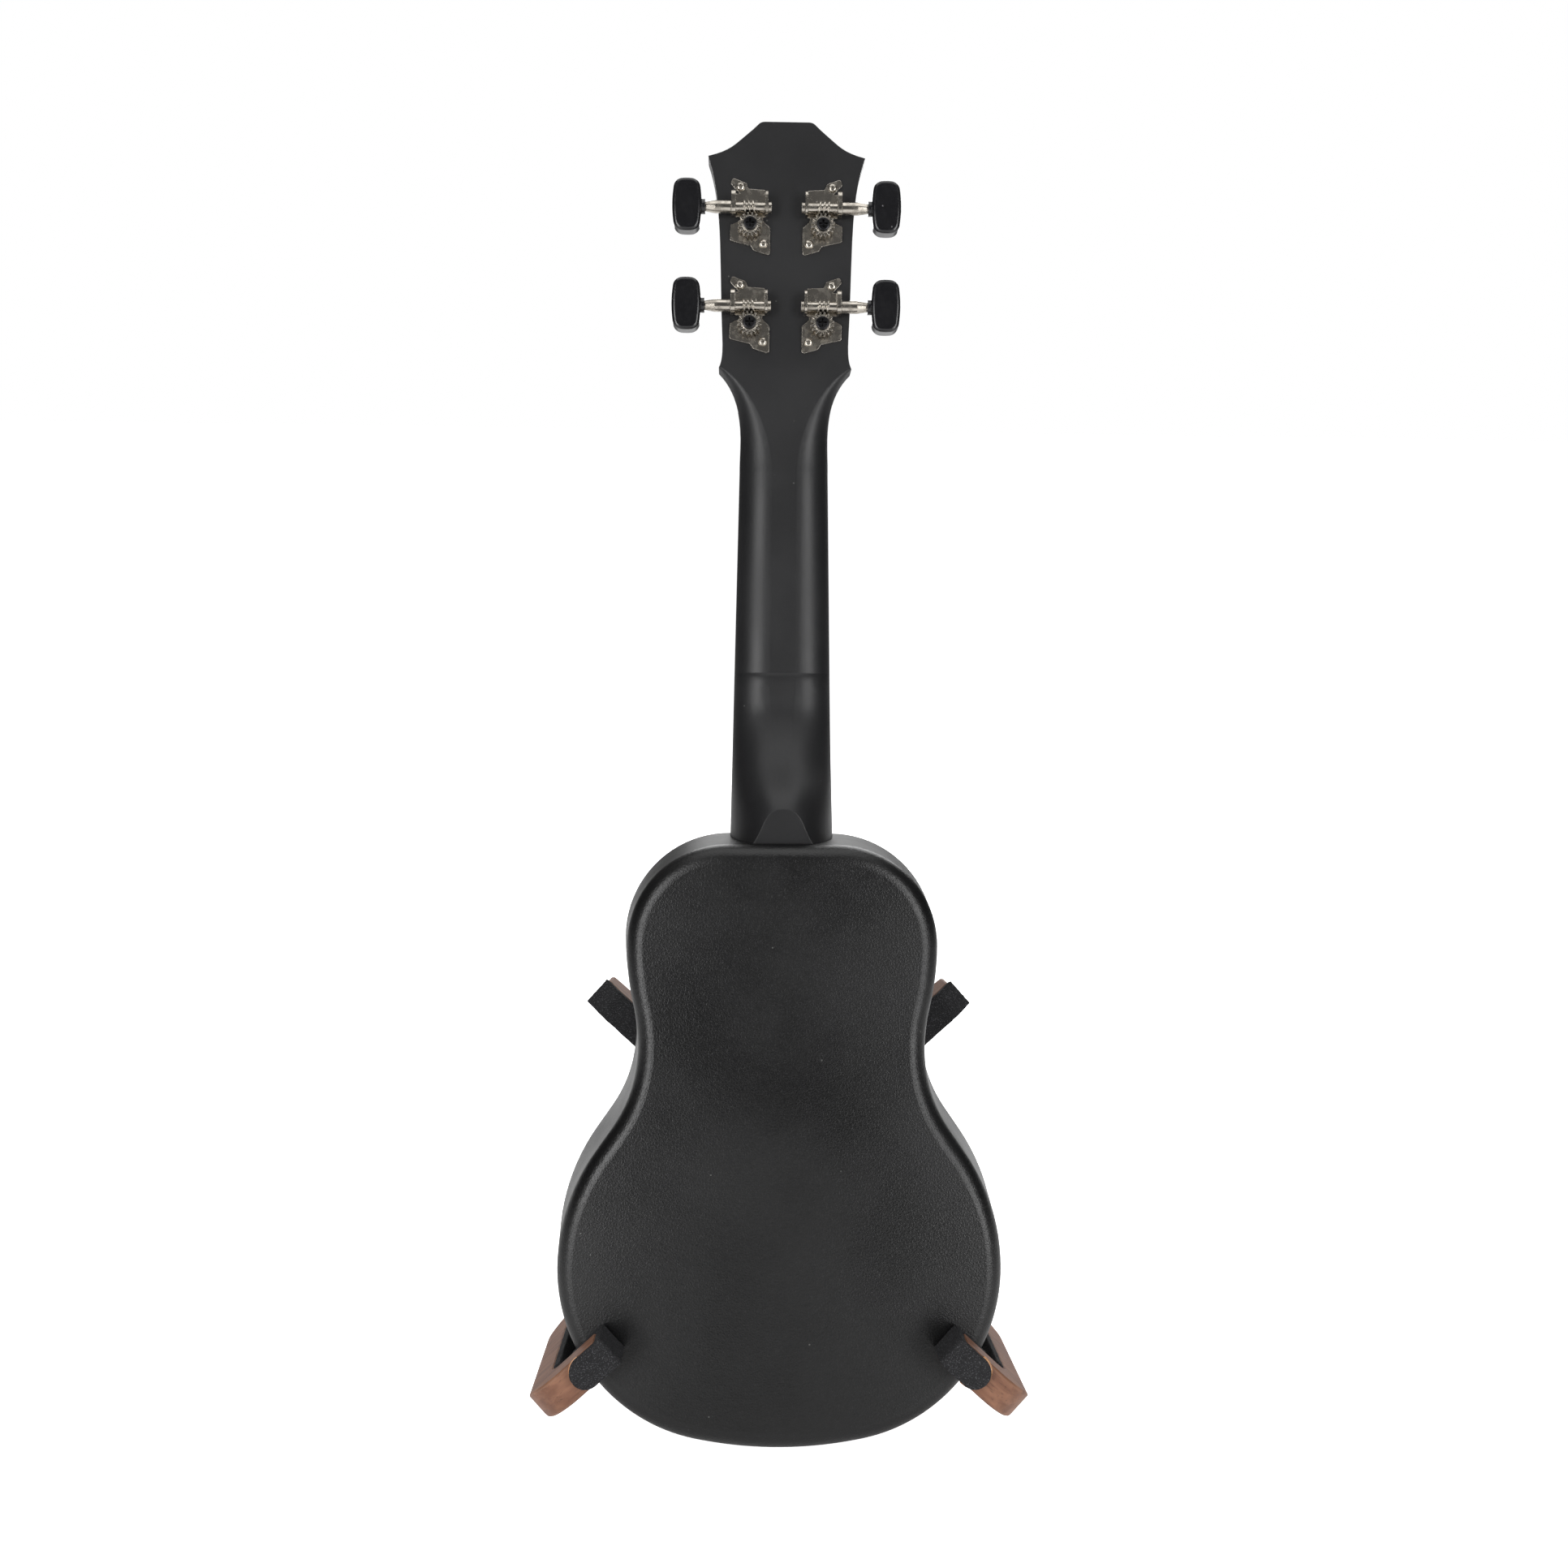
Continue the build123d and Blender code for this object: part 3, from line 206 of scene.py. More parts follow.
def makeWoodGrain():
    inputs = [("Vector", vectorKind, None), ("Streak", floatKind, 2.2), ("Seed", floatKind, 0.0)]
    outputs = [("Tone", floatKind), ("Pores", floatKind), ("Fibre", floatKind)]
    tree, given, out = newTree("woodGrain", "ShaderNodeTree", inputs, outputs)
    seed = addNode(tree, "ShaderNodeCombineXYZ", {0: given["Seed"], 1: given["Seed"], 2: given["Seed"]})
    seeded = vectorMaths(tree, "ADD", given["Vector"], seed.outputs[0])
    scale = maths(tree, "DIVIDE", 1000.0, given["Streak"])

    def stretched(along):
        return vectorMaths(tree, "MULTIPLY", seeded, (along, 1.0, 1.0))

    def scaled(share):
        return maths(tree, "MULTIPLY", scale, share)

    streaks = noiseTexture(
        tree, stretched(grainShape["streakAlong"]), scale, grainShape["streakDetail"],
        Distortion=grainShape["streakDistortion"],
    )
    broad = noiseTexture(tree, stretched(grainShape["broadAlong"]), scaled(grainShape["broadScale"]))
    streakPart = maths(tree, "MULTIPLY", streaks[0], grainShape["streakShare"])
    broadPart = maths(tree, "MULTIPLY", broad[0], 1.0 - grainShape["streakShare"])
    tone = maths(tree, "ADD", streakPart, broadPart)
    tree.links.new(fadeRange(tree, tone, *grainShape["tone"]), out["Tone"])
    pores = noiseTexture(tree, stretched(grainShape["poreAlong"]), scaled(grainShape["poreScale"]))
    tree.links.new(fadeRange(tree, pores[0], *grainShape["pores"]), out["Pores"])
    fibre = noiseTexture(tree, seeded, scaled(grainShape["fibreScale"]), grainShape["fibreDetail"])
    tree.links.new(fibre[0], out["Fibre"])
    return tree


brushedShape = {
    "along": 0.06, "roughness": 0.4,
    "smudgeScale": 420.0, "smudgeDetail": 4.0, "smudge": (0.4, 0.68),
}


def makeBrushedLines():
    inputs = [("Vector", vectorKind, None), ("Spacing", floatKind, 0.3)]
    outputs = [("Height", floatKind), ("Smudge", floatKind)]
    tree, given, out = newTree("brushedLines", "ShaderNodeTree", inputs, outputs)
    scale = maths(tree, "DIVIDE", 1000.0, given["Spacing"])
    drawn = vectorMaths(tree, "MULTIPLY", given["Vector"], (brushedShape["along"], 1.0, 1.0))
    lines = noiseTexture(tree, drawn, scale, 1.0, Roughness=brushedShape["roughness"])
    tree.links.new(lines[0], out["Height"])
    smudge = noiseTexture(tree, given["Vector"], brushedShape["smudgeScale"], brushedShape["smudgeDetail"])
    tree.links.new(fadeRange(tree, smudge[0], *brushedShape["smudge"]), out["Smudge"])
    return tree


foamShape = {"wall": (0.1, 0.75), "pale": (0.52, 0.72)}


def makeFoamCells():
    inputs = [("Vector", vectorKind, None), ("Cell", floatKind, 0.45)]
    outputs = [("Height", floatKind), ("Pale", floatKind)]
    tree, given, out = newTree("foamCells", "ShaderNodeTree", inputs, outputs)
    scale = maths(tree, "DIVIDE", 1000.0, given["Cell"])
    cells = cellTexture(tree, given["Vector"], scale)
    tree.links.new(fadeRange(tree, cells["Distance"], *foamShape["wall"]), out["Height"])
    fleck = noiseTexture(tree, given["Vector"], scale)
    tree.links.new(fadeRange(tree, fleck[0], *foamShape["pale"]), out["Pale"])
    return tree


leatherGrain, softEdges, handling = makeLeatherGrain(), makeSoftEdges(), makeHandling()
woodGrain, brushedLines, foamCells = makeWoodGrain(), makeBrushedLines(), makeFoamCells()


def placeEffect(tree, effect, inputs):
    made = addNode(tree, "ShaderNodeGroup", node_tree=effect)
    for name, value in inputs.items():
        if isinstance(value, bpy.types.NodeSocket):
            tree.links.new(value, made.inputs[name])
        else:
            made.inputs[name].default_value = value
    return made.outputs


def startMaterial(name, edge, constants):
    material = bpy.data.materials.new(name)
    material.use_nodes = True
    tree = material.node_tree
    shader = tree.nodes["Principled BSDF"]
    for label, value in constants.items():
        shader.inputs[label].default_value = value
    place = addNode(tree, "ShaderNodeTexCoord").outputs["Object"]
    edges = placeEffect(tree, softEdges, {"Radius": edge})
    return material, tree, shader, place, edges


def finishSurface(tree, shader, colour, roughness, height, edges, depth):
    relief = {"Height": height, "Distance": depth * mm, "Normal": edges["Normal"]}
    bump = addNode(tree, "ShaderNodeBump", relief)
    for label, value in (("Base Color", colour), ("Roughness", roughness), ("Normal", bump.outputs[0])):
        tree.links.new(value, shader.inputs[label])


def levelRange(tree, value, low, high):
    wanted = {"Value": value, "To Min": low, "To Max": high}
    return addNode(tree, "ShaderNodeMapRange", wanted).outputs[0]


def tinted(tree, mask, share, under, over):
    return blendColour(tree, maths(tree, "MULTIPLY", mask, share), under, over)


# Materials: sizes and depths in mm, colours as linear red, green, blue
plasticWear = {
    "edge": 0.5, "specular": 0.42, "patchSize": 60.0, "specks": 0.85, "patches": 0.08,
    "edgeColour": (0.09, 0.09, 0.09), "dust": 0.3, "dustColour": (0.2, 0.2, 0.19), "rougher": 0.09,
}


def grainedPlastic(name, dark, light, cell, fine, depth, rough, worn):
    constants = {"Specular IOR Level": plasticWear["specular"]}
    material, tree, shader, place, edges = startMaterial(name, plasticWear["edge"], constants)
    grain = placeEffect(tree, leatherGrain, {"Vector": place, "Cell": cell, "Fine": fine})
    marks = placeEffect(tree, handling, {"Vector": place, "Size": plasticWear["patchSize"]})
    colour = tinted(tree, grain["Speck"], plasticWear["specks"], dark, light)
    colour = tinted(tree, marks["Patches"], plasticWear["patches"], colour, light)
    colour = tinted(tree, edges["Mask"], worn, colour, plasticWear["edgeColour"])
    colour = tinted(tree, marks["Dust"], plasticWear["dust"], colour, plasticWear["dustColour"])
    roughness = levelRange(tree, marks["Patches"], rough, rough + plasticWear["rougher"])
    finishSurface(tree, shader, colour, roughness, grain["Height"], edges, depth)
    return material


polishWear = {
    "coatRoughness": 0.04, "patchSize": 9.0, "spacing": 0.5, "patches": 0.5,
    "dust": 0.4, "dustColour": (0.3, 0.3, 0.3), "rougher": 0.07, "depth": 0.003,
}


def polishedPlastic(name, colour, light, rough, edge, coat=0.0, constants=None):
    fixed = {"Coat Weight": coat, "Coat Roughness": polishWear["coatRoughness"], **(constants or {})}
    material, tree, shader, place, edges = startMaterial(name, edge, fixed)
    marks = placeEffect(tree, handling, {"Vector": place, "Size": polishWear["patchSize"]})
    lines = placeEffect(tree, brushedLines, {"Vector": place, "Spacing": polishWear["spacing"]})
    shade = tinted(tree, marks["Patches"], polishWear["patches"], colour, light)
    shade = tinted(tree, marks["Dust"], polishWear["dust"], shade, polishWear["dustColour"])
    roughness = levelRange(tree, lines["Smudge"], rough, rough + polishWear["rougher"])
    finishSurface(tree, shader, shade, roughness, lines["Height"], edges, polishWear["depth"])
    return material


# Painted shade: the gaps between teeth and under screws are darkened in the colour by how much of the metal round
# them hides the light.
metalWearAndShade = {
    "smudges": 0.7, "lines": 0.35, "edgeBrighter": 1.35, "rougher": 0.16,
    "gapReach": 1.6, "gapSamples": 8, "gapFrom": 0.12, "gapTo": 0.62, "gapShade": 0.25,
}


def platedMetal(name, bright, dull, rough, spacing, depth, edge):
    material, tree, shader, place, edges = startMaterial(name, edge, {"Metallic": 1.0})
    lines = placeEffect(tree, brushedLines, {"Vector": place, "Spacing": spacing})
    colour = tinted(tree, lines["Smudge"], metalWearAndShade["smudges"], bright, dull)
    colour = tinted(tree, lines["Height"], metalWearAndShade["lines"], colour, dull)
    edgeColour = [min(1.0, part * metalWearAndShade["edgeBrighter"]) for part in bright]
    colour = blendColour(tree, edges["Mask"], colour, edgeColour)
    # painted shade: the colour turns dark in gaps where the metal round them hides the light
    reach = {"Distance": metalWearAndShade["gapReach"] * mm}
    gaps = addNode(tree, "ShaderNodeAmbientOcclusion", reach, samples=metalWearAndShade["gapSamples"]).outputs["AO"]
    lit = fadeRange(tree, gaps, metalWearAndShade["gapFrom"], metalWearAndShade["gapTo"])
    colour = blendColour(tree, lit, [part * metalWearAndShade["gapShade"] for part in dull], colour)
    roughness = levelRange(tree, lines["Smudge"], rough, rough + metalWearAndShade["rougher"])
    finishSurface(tree, shader, colour, roughness, lines["Height"], edges, depth)
    return material


rubberWear = {
    "edge": 0.5, "specular": 0.25, "patchSize": 14.0,
    "dust": 0.6, "dustColour": (0.28, 0.27, 0.26), "rougher": 0.1,
}


def rubberySolid(name, dark, light, cell, depth, rough):
    constants = {"Specular IOR Level": rubberWear["specular"]}
    material, tree, shader, place, edges = startMaterial(name, rubberWear["edge"], constants)
    cells = placeEffect(tree, foamCells, {"Vector": place, "Cell": cell})
    marks = placeEffect(tree, handling, {"Vector": place, "Size": rubberWear["patchSize"]})
    colour = blendColour(tree, cells["Pale"], dark, light)
    colour = tinted(tree, marks["Dust"], rubberWear["dust"], colour, rubberWear["dustColour"])
    roughness = levelRange(tree, marks["Patches"], rough, min(1.0, rough + rubberWear["rougher"]))
    finishSurface(tree, shader, colour, roughness, cells["Height"], edges, depth)
    return material


stainedWood = {
    "dark": (0.115, 0.043, 0.021),
    "light": (0.225, 0.102, 0.055),
    "worn": (0.36, 0.24, 0.17),
    "coat": 0.12,
}
rawWood = {"dark": (0.46, 0.30, 0.16), "light": (0.66, 0.48, 0.29), "worn": (0.72, 0.56, 0.38), "coat": 0.0}
woodWear = {
    "edge": 1.0, "coatRoughness": 0.3, "specular": 0.4, "streak": 2.6, "patchSize": 30.0,
    "fibres": 0.3, "pores": 0.45, "poreShade": 0.4, "rubbed": 0.2, "rubbedPatches": 0.45,
    "roughness": 0.46, "rougher": 0.16, "fibreHeight": 0.4, "depth": 0.05,
}


def woodMaterial(name, along, seed, dark, light, worn, coat):
    constants = {
        "Coat Weight": coat,
        "Coat Roughness": woodWear["coatRoughness"],
        "Specular IOR Level": woodWear["specular"],
    }
    material, tree, shader, place, edges = startMaterial(name, woodWear["edge"], constants)
    along = Vector(along).normalized()
    side = along.cross(Vector((0.12, 1.0, 0.2))).normalized()  # any direction that no piece runs along
    turned = Matrix((along, side, along.cross(side))).to_euler()
    lined = addNode(tree, "ShaderNodeMapping", {"Vector": place, "Rotation": turned}).outputs[0]
    grain = placeEffect(tree, woodGrain, {"Vector": lined, "Streak": woodWear["streak"], "Seed": seed})
    marks = placeEffect(tree, handling, {"Vector": place, "Size": woodWear["patchSize"]})
    colour = blendColour(tree, grain["Tone"], dark, light)
    colour = tinted(tree, grain["Fibre"], woodWear["fibres"], colour, light)
    poreColour = [part * woodWear["poreShade"] for part in dark]
    colour = tinted(tree, grain["Pores"], woodWear["pores"], colour, poreColour)
    patchy = maths(tree, "MULTIPLY", marks["Patches"], woodWear["rubbedPatches"])
    rubbed = maths(tree, "MULTIPLY", edges["Mask"], maths(tree, "ADD", woodWear["rubbed"], patchy))
    colour = blendColour(tree, rubbed, colour, worn)
    smooth = woodWear["roughness"]
    roughness = levelRange(tree, grain["Fibre"], smooth, smooth + woodWear["rougher"])
    fibreHeight = maths(tree, "MULTIPLY", grain["Fibre"], woodWear["fibreHeight"])
    relief = maths(tree, "SUBTRACT", fibreHeight, grain["Pores"])
    finishSurface(tree, shader, colour, roughness, relief, edges, woodWear["depth"])
    return material


leftHookArm = acrossAxis * math.cos(armAngle) + upAxis * math.sin(armAngle)
rightHookArm = -acrossAxis * math.cos(armAngle) + upAxis * math.sin(armAngle)
grainDirections = {
    "cradle_arm_left_hook": leftHookArm,
    "cradle_arm_right_hook": rightHookArm,
    "spine": upAxis,
    "base_block": Vector((1, 0, 0)),
    "rear_bar": Vector((1, 0, 0)),
    "rear_leg_left": Vector((0, -0.45, 0.89)),
    "rear_leg_right": Vector((0, -0.45, 0.89)),
}

grainedLooks = {
    # dark, light, cell size, share of fine grain, depth, roughness, edge wear
    "bodyPlastic": ((0.0008, 0.0008, 0.0009), (0.011, 0.011, 0.0123), 1.15, 0.32, 0.045, 0.31, 0.12),
    "neckPlastic": ((0.0055, 0.0055, 0.0062), (0.017, 0.017, 0.0185), 0.5, 0.9, 0.022, 0.38, 0.2),
    "boardPlastic": ((0.010, 0.010, 0.010), (0.026, 0.026, 0.027), 0.6, 0.7, 0.03, 0.36, 0.2),
    "knobPlastic": ((0.012, 0.012, 0.012), (0.04, 0.04, 0.04), 0.6, 0.5, 0.05, 0.5, 0.3),
}
polishedLooks = {
    # colour, lighter colour, roughness, edge radius, coat, settings of their own
    "bone": ((0.72, 0.67, 0.55), (0.82, 0.79, 0.70), 0.3, 0.3, 0.2, {"Subsurface Weight": 0.1}),
    "dotInlay": ((0.76, 0.74, 0.69), (0.90, 0.88, 0.86), 0.16, 0.15, 0.4),
    "nylon": ((0.72, 0.73, 0.74), (0.86, 0.87, 0.88), 0.18, 0.1, 0.3),
    "buttonPlastic": ((0.005, 0.005, 0.006), (0.008, 0.008, 0.009), 0.16, 0.6, 0.1),
    "glue": ((0.42, 0.18, 0.06), (0.60, 0.31, 0.11), 0.22, 0.1, 0.5, {"Transmission Weight": 0.15}),
}
platedLooks = {
    # bright, dull, roughness, line spacing, depth, edge radius
    "nickel": ((0.56, 0.52, 0.46), (0.24, 0.22, 0.19), 0.17, 0.30, 0.02, 0.25),
    "fretMetal": ((0.74, 0.73, 0.70), (0.50, 0.49, 0.47), 0.16, 0.2, 0.004, 0.1),
    "screwSteel": ((0.60, 0.60, 0.60), (0.32, 0.32, 0.33), 0.24, 0.22, 0.008, 0.15),
    "blackSteel": ((0.040, 0.040, 0.043), (0.020, 0.020, 0.021), 0.26, 0.25, 0.006, 0.2),
    "standSteel": ((0.075, 0.075, 0.08), (0.035, 0.035, 0.037), 0.34, 0.3, 0.006, 0.3),
}
rubberyLooks = {
    # dark, light, cell size, depth, roughness
    "foam": ((0.011, 0.011, 0.012), (0.060, 0.060, 0.064), 0.42, 0.09, 0.82),
    "rubber": ((0.014, 0.014, 0.014), (0.032, 0.032, 0.032), 0.3, 0.03, 0.6),
}
finishes = {}
for makeFinish, looks in (
    (grainedPlastic, grainedLooks),
    (polishedPlastic, polishedLooks),
    (platedMetal, platedLooks),
    (rubberySolid, rubberyLooks),
):
    finishes.update({name: makeFinish(name, *look) for name, look in looks.items()})
print("materials made")

slotFinishes = {
    "body_plastic": "bodyPlastic", "neck_plastic": "neckPlastic", "board_plastic": "boardPlastic",
    "button_plastic": "buttonPlastic", "knob_plastic": "knobPlastic", "bone": "bone",
    "dot_inlay": "dotInlay", "nylon": "nylon", "nickel": "nickel", "fret_metal": "fretMetal",
    "screw_steel": "screwSteel", "black_steel": "blackSteel", "stand_steel": "standSteel",
    "foam": "foam", "rubber_black": "rubber",
}
woodSeedStep = 0.37
for index, subpart in enumerate(frame["record"]["subparts"]):
    name, slotName = subpart["node"], subpart["material_slot"]
    if slotName == "stand_wood":
        finish = woodMaterial("wood_" + name, grainDirections[name], index * woodSeedStep, **stainedWood)
    elif slotName == "inner_wood":
        finish = woodMaterial("raw_" + name, acrossAxis, index * woodSeedStep, **rawWood)
    else:
        finish = finishes[slotFinishes[slotName]]
    for materialSlot in nodes[name].material_slots:
        materialSlot.material = finish


# Helpers for new pieces
def linkPiece(name, mesh):
    piece = bpy.data.objects.new(name, mesh)
    bpy.context.scene.collection.objects.link(piece)
    return piece


def meshFrom(name, points, edges=(), faces=()):
    mesh = bpy.data.meshes.new(name)
    mesh.from_pydata(points, edges, faces)
    return mesh


def runTree(name, tree, base, values):
    maker = linkPiece(name + "Maker", base)
    modifier = maker.modifiers.new("maker", "NODES")
    modifier.node_group = tree
    for item in tree.interface.items_tree:
        if item.in_out == "INPUT" and item.name in values:
            modifier[item.identifier] = values[item.name]
    drawn = bpy.context.evaluated_depsgraph_get()
    mesh = bpy.data.meshes.new_from_object(maker.evaluated_get(drawn), depsgraph=drawn)
    bpy.data.objects.remove(maker)
    mesh.transform(leanMatrix)
    mesh.name = name
    return linkPiece(name, mesh)


def bakeModifiers(piece):
    drawn = bpy.context.evaluated_depsgraph_get()
    mesh = bpy.data.meshes.new_from_object(piece.evaluated_get(drawn), depsgraph=drawn)
    piece.modifiers.clear()
    piece.data = mesh


geometryIn = [("Geometry", "NodeSocketGeometry", None)]
geometryOut = [("Geometry", "NodeSocketGeometry")]
intKind, materialKind, objectKind = "NodeSocketInt", "NodeSocketMaterial", "NodeSocketObject"


def closeTree(tree, geometry, given, out):
    real = addNode(tree, "GeometryNodeRealizeInstances", {"Geometry": geometry}).outputs[0]
    smooth = addNode(tree, "GeometryNodeSetShadeSmooth", {"Geometry": real}).outputs[0]
    done = addNode(tree, "GeometryNodeSetMaterial", {"Geometry": smooth, "Material": given["Material"]})
    tree.links.new(done.outputs[0], out["Geometry"])


# Foam pads: soft blocks cut from sheet, a little swollen and dented
foamLook = {
    "weld": 0.02, "voxel": 0.4, "smoothing": 2, "smoothShare": 0.5, "seedStep": 9.1, "fill": 0.92,
    "dent": 0.13, "dentSize": 5.0, "fineScale": 3.7, "fineShare": 0.4,
}


def makeFoamPad(nodeName, pieceName, seed):
    mesh = nodes[nodeName].data.copy()
    work = bmesh.new()
    work.from_mesh(mesh)
    bmesh.ops.remove_doubles(work, verts=work.verts, dist=foamLook["weld"] * mm)
    work.to_mesh(mesh)
    work.free()
    mesh.materials.clear()
    pad = linkPiece(pieceName, mesh)
    remesh = pad.modifiers.new("cells", "REMESH")
    remesh.mode, remesh.voxel_size = "VOXEL", foamLook["voxel"] * mm
    soften = pad.modifiers.new("soften", "SMOOTH")
    soften.factor, soften.iterations = foamLook["smoothShare"], foamLook["smoothing"]
    bakeModifiers(pad)
    mesh = pad.data
    normals = [vertex.normal.copy() for vertex in mesh.vertices]
    for vertex, normal in zip(mesh.vertices, normals):
        spot = vertex.co / (foamLook["dentSize"] * mm) + Vector((seed, 0, 0))
        broad = noise.noise(spot) * foamLook["dent"]
        fine = noise.noise(spot * foamLook["fineScale"]) * foamLook["dent"] * foamLook["fineShare"]
        vertex.co += normal * (broad + fine) * mm
    mesh.shade_smooth()
    mesh.materials.append(finishes["foam"])
    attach(pad, "stand")
    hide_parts(nodeName)


for seed, (nodeName, pieceName) in enumerate((
    ("hook_pad_left", "foam_hook_left"),
    ("hook_pad_right", "foam_hook_right"),
    ("upper_pads", "foam_upper"),
    ("throat_pads", "foam_throat"),
)):
    makeFoamPad(nodeName, pieceName, seed * foamLook["seedStep"])
print("foam pads made")


# Round wire that follows a line of points: glue beads, string turns and knots
def makeWireTree():
    inputs = geometryIn + [
        ("Thickness", floatKind, 0.7), ("Lumps", floatKind, 0.0), ("Lump Size", floatKind, 1.0),
        ("Sides", intKind, 10), ("Seed", floatKind, 0.0), ("Material", materialKind, None),
    ]
    tree, given, out = newTree("roundWire", "GeometryNodeTree", inputs, geometryOut)
    line = addNode(tree, "GeometryNodeMeshToCurve", {"Mesh": given["Geometry"]}).outputs[0]
    place = addNode(tree, "GeometryNodeInputPosition").outputs[0]
    seedShift = addNode(tree, "ShaderNodeCombineXYZ", {0: given["Seed"]}).outputs[0]
    perLump = maths(tree, "DIVIDE", 1000.0, given["Lump Size"])
    spread = {0: place, "Scale": perLump}
    scaled = addNode(tree, "ShaderNodeVectorMath", spread, operation="SCALE").outputs[0]
    lumps = noiseTexture(tree, vectorMaths(tree, "ADD", scaled, seedShift), 1.0)
    uneven = maths(tree, "MULTIPLY", maths(tree, "SUBTRACT", lumps[0], 0.5), given["Lumps"])
    halfThickness = maths(tree, "MULTIPLY", given["Thickness"], 0.5 * mm)
    width = maths(tree, "MULTIPLY", maths(tree, "ADD", 1.0, uneven), halfThickness)
    circle = {"Resolution": given["Sides"], "Radius": 1.0}
    ring = addNode(tree, "GeometryNodeCurvePrimitiveCircle", circle).outputs[0]
    fitted = addNode(tree, "GeometryNodeSetCurveRadius", {"Curve": line, "Radius": width}).outputs[0]
    swept = {"Curve": fitted, "Profile Curve": ring, "Fill Caps": True}
    wire = addNode(tree, "GeometryNodeCurveToMesh", swept)
    if "Scale" in wire.inputs:
        radius = addNode(tree, "GeometryNodeInputRadius").outputs[0]
        tree.links.new(radius, wire.inputs["Scale"])
    closeTree(tree, wire.outputs[0], given, out)
    return tree


wireTree = makeWireTree()


def makeWire(name, lines, body, values):
    points, edges = [], []
    for line in lines:
        first = len(points)
        points += [tuple(point) for point in line]
        edges += [(first + i, first + i + 1) for i in range(len(line) - 1)]
    piece = runTree(name, wireTree, meshFrom(name, points, edges), values)
    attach(piece, body)


# Glue squeezed out round the lower end of each hook's foam
glueLook = {
    "left": 0.8, "right": 1.25, "lumps": 1.2, "lumpSize": 1.8, "sweep": 100.0, "steps": 48, "seed": 3.0,
    "padHalfWidth": 6.15, "inset": 0.05, "endBand": 0.3, "sunk": 0.12,
}


def makeGlueBead(side, sign):
    alongX, alongU = sign * math.cos(armAngle), math.sin(armAngle)
    halfWidth = glueLook["padHalfWidth"] * mm
    places = [toLean(vertex.co) for vertex in nodes["hook_pad_" + side].data.vertices]
    reach = min(place.x * alongX + place.z * alongU for place in places)
    band = glueLook["endBand"] * mm
    middle = [place for place in places if abs(place.x * alongX + place.z * alongU - reach) < band]
    acrossMiddle = sum(-place.x * alongU + place.z * alongX for place in middle) / len(middle)
    centre = reach + halfWidth
    depth = max(place.y for place in middle) - glueLook["sunk"] * mm
    radius = halfWidth + glueLook["inset"] * mm
    sweep, steps = glueLook["sweep"], glueLook["steps"]
    points = []
    for step in range(steps + 1):
        angle = math.radians(180 - sweep + 2 * sweep * step / steps)
        s, t = centre + radius * math.cos(angle), acrossMiddle + radius * math.sin(angle)
        points.append((s * alongX - t * alongU, depth, s * alongU + t * alongX))
    values = {
        "Thickness": glueLook[side], "Lumps": glueLook["lumps"], "Lump Size": glueLook["lumpSize"],
        "Seed": sign * glueLook["seed"], "Material": finishes["glue"],
    }
    makeWire("glue_bead_" + side, [points], "stand", values)


makeGlueBead("left", 1)
makeGlueBead("right", -1)

# String turns on the posts, and the knots at the bridge
stringLook = {
    "thickness": 0.7, "turns": 3.25, "pitch": 0.78, "belowTop": 5.6,
    "postRadius": 3.0, "stepsPerTurn": 28, "sides": 8, "tipBand": 0.4,
}


def makeStringTurns(corner):
    centre = toLean(joints["post_" + corner + "_turn"]["pos_m"])
    top = leanBox("post_gear_" + corner)[1].y
    radius = (stringLook["postRadius"] + stringLook["thickness"] / 2) * mm
    hand = 1 if "left" in corner else -1
    turns = stringLook["turns"]
    steps = int(turns * stringLook["stepsPerTurn"])
    points = []
    for step in range(steps + 1):
        angle = hand * (math.pi * 1.5 + 2 * math.pi * turns * step / steps)
        depth = top - (stringLook["belowTop"] - stringLook["pitch"] * turns * step / steps) * mm
        points.append((centre.x + radius * math.cos(angle), depth, centre.z + radius * math.sin(angle)))
    values = {
        "Thickness": stringLook["thickness"], "Sides": stringLook["sides"],
        "Material": finishes["nylon"],
    }
    makeWire("string_turns_" + corner, [points], "post_" + corner, values)


for corner in corners:
    makeStringTurns(corner)

knotLook = {
    "turns": 2.5, "radius": 0.72, "steps": 60, "lift": 0.42, "start": 0.6, "length": 2.6,
    "end": (1.7, 0.3, 3.6), "thickness": 0.62, "sides": 8,
}
knotLines = []
for letter in "gcea":
    places = [toLean(vertex.co) for vertex in nodes["string_" + letter].data.vertices]
    lowest = min(place.z for place in places)
    tip = [place for place in places if place.z < lowest + stringLook["tipBand"] * mm]
    middleX = sum(place.x for place in tip) / len(tip)
    middleY = sum(place.y for place in tip) / len(tip)
    tail = Vector((middleX, middleY, lowest))
    radius = knotLook["radius"] * mm
    line = []
    for step in range(knotLook["steps"] + 1):
        share = step / knotLook["steps"]
        angle = 2 * math.pi * knotLook["turns"] * share
        line.append((
            tail.x + radius * math.cos(angle),
            tail.y + radius * math.sin(angle) + knotLook["lift"] * mm,
            tail.z + (knotLook["start"] + knotLook["length"] * share) * mm,
        ))
    line.append(tuple(place + offset * mm for place, offset in zip(tail, knotLook["end"])))
    knotLines.append(line)
knotValues = {"Thickness": knotLook["thickness"], "Sides": knotLook["sides"], "Material": finishes["nylon"]}
makeWire("bridge_knots", knotLines, "ukulele", knotValues)
print("glue, string turns and knots made")


# Frets: each shortens the string by a twelfth root of two
fretLook = {
    "count": 14, "crownHeight": 0.9, "crownHalf": 0.9, "crownSteps": 12, "endInset": 0.3,
    "tang": 0.9, "tangHalf": 0.28, "shoulder": 0.02, "sharpAngle": 40,
    # place along half the bar, share of the crown's height
    "sections": ((-1.0, 0.45), (-0.985, 0.8), (-0.96, 1.0), (0.96, 1.0), (0.985, 0.8), (1.0, 0.45)),
}


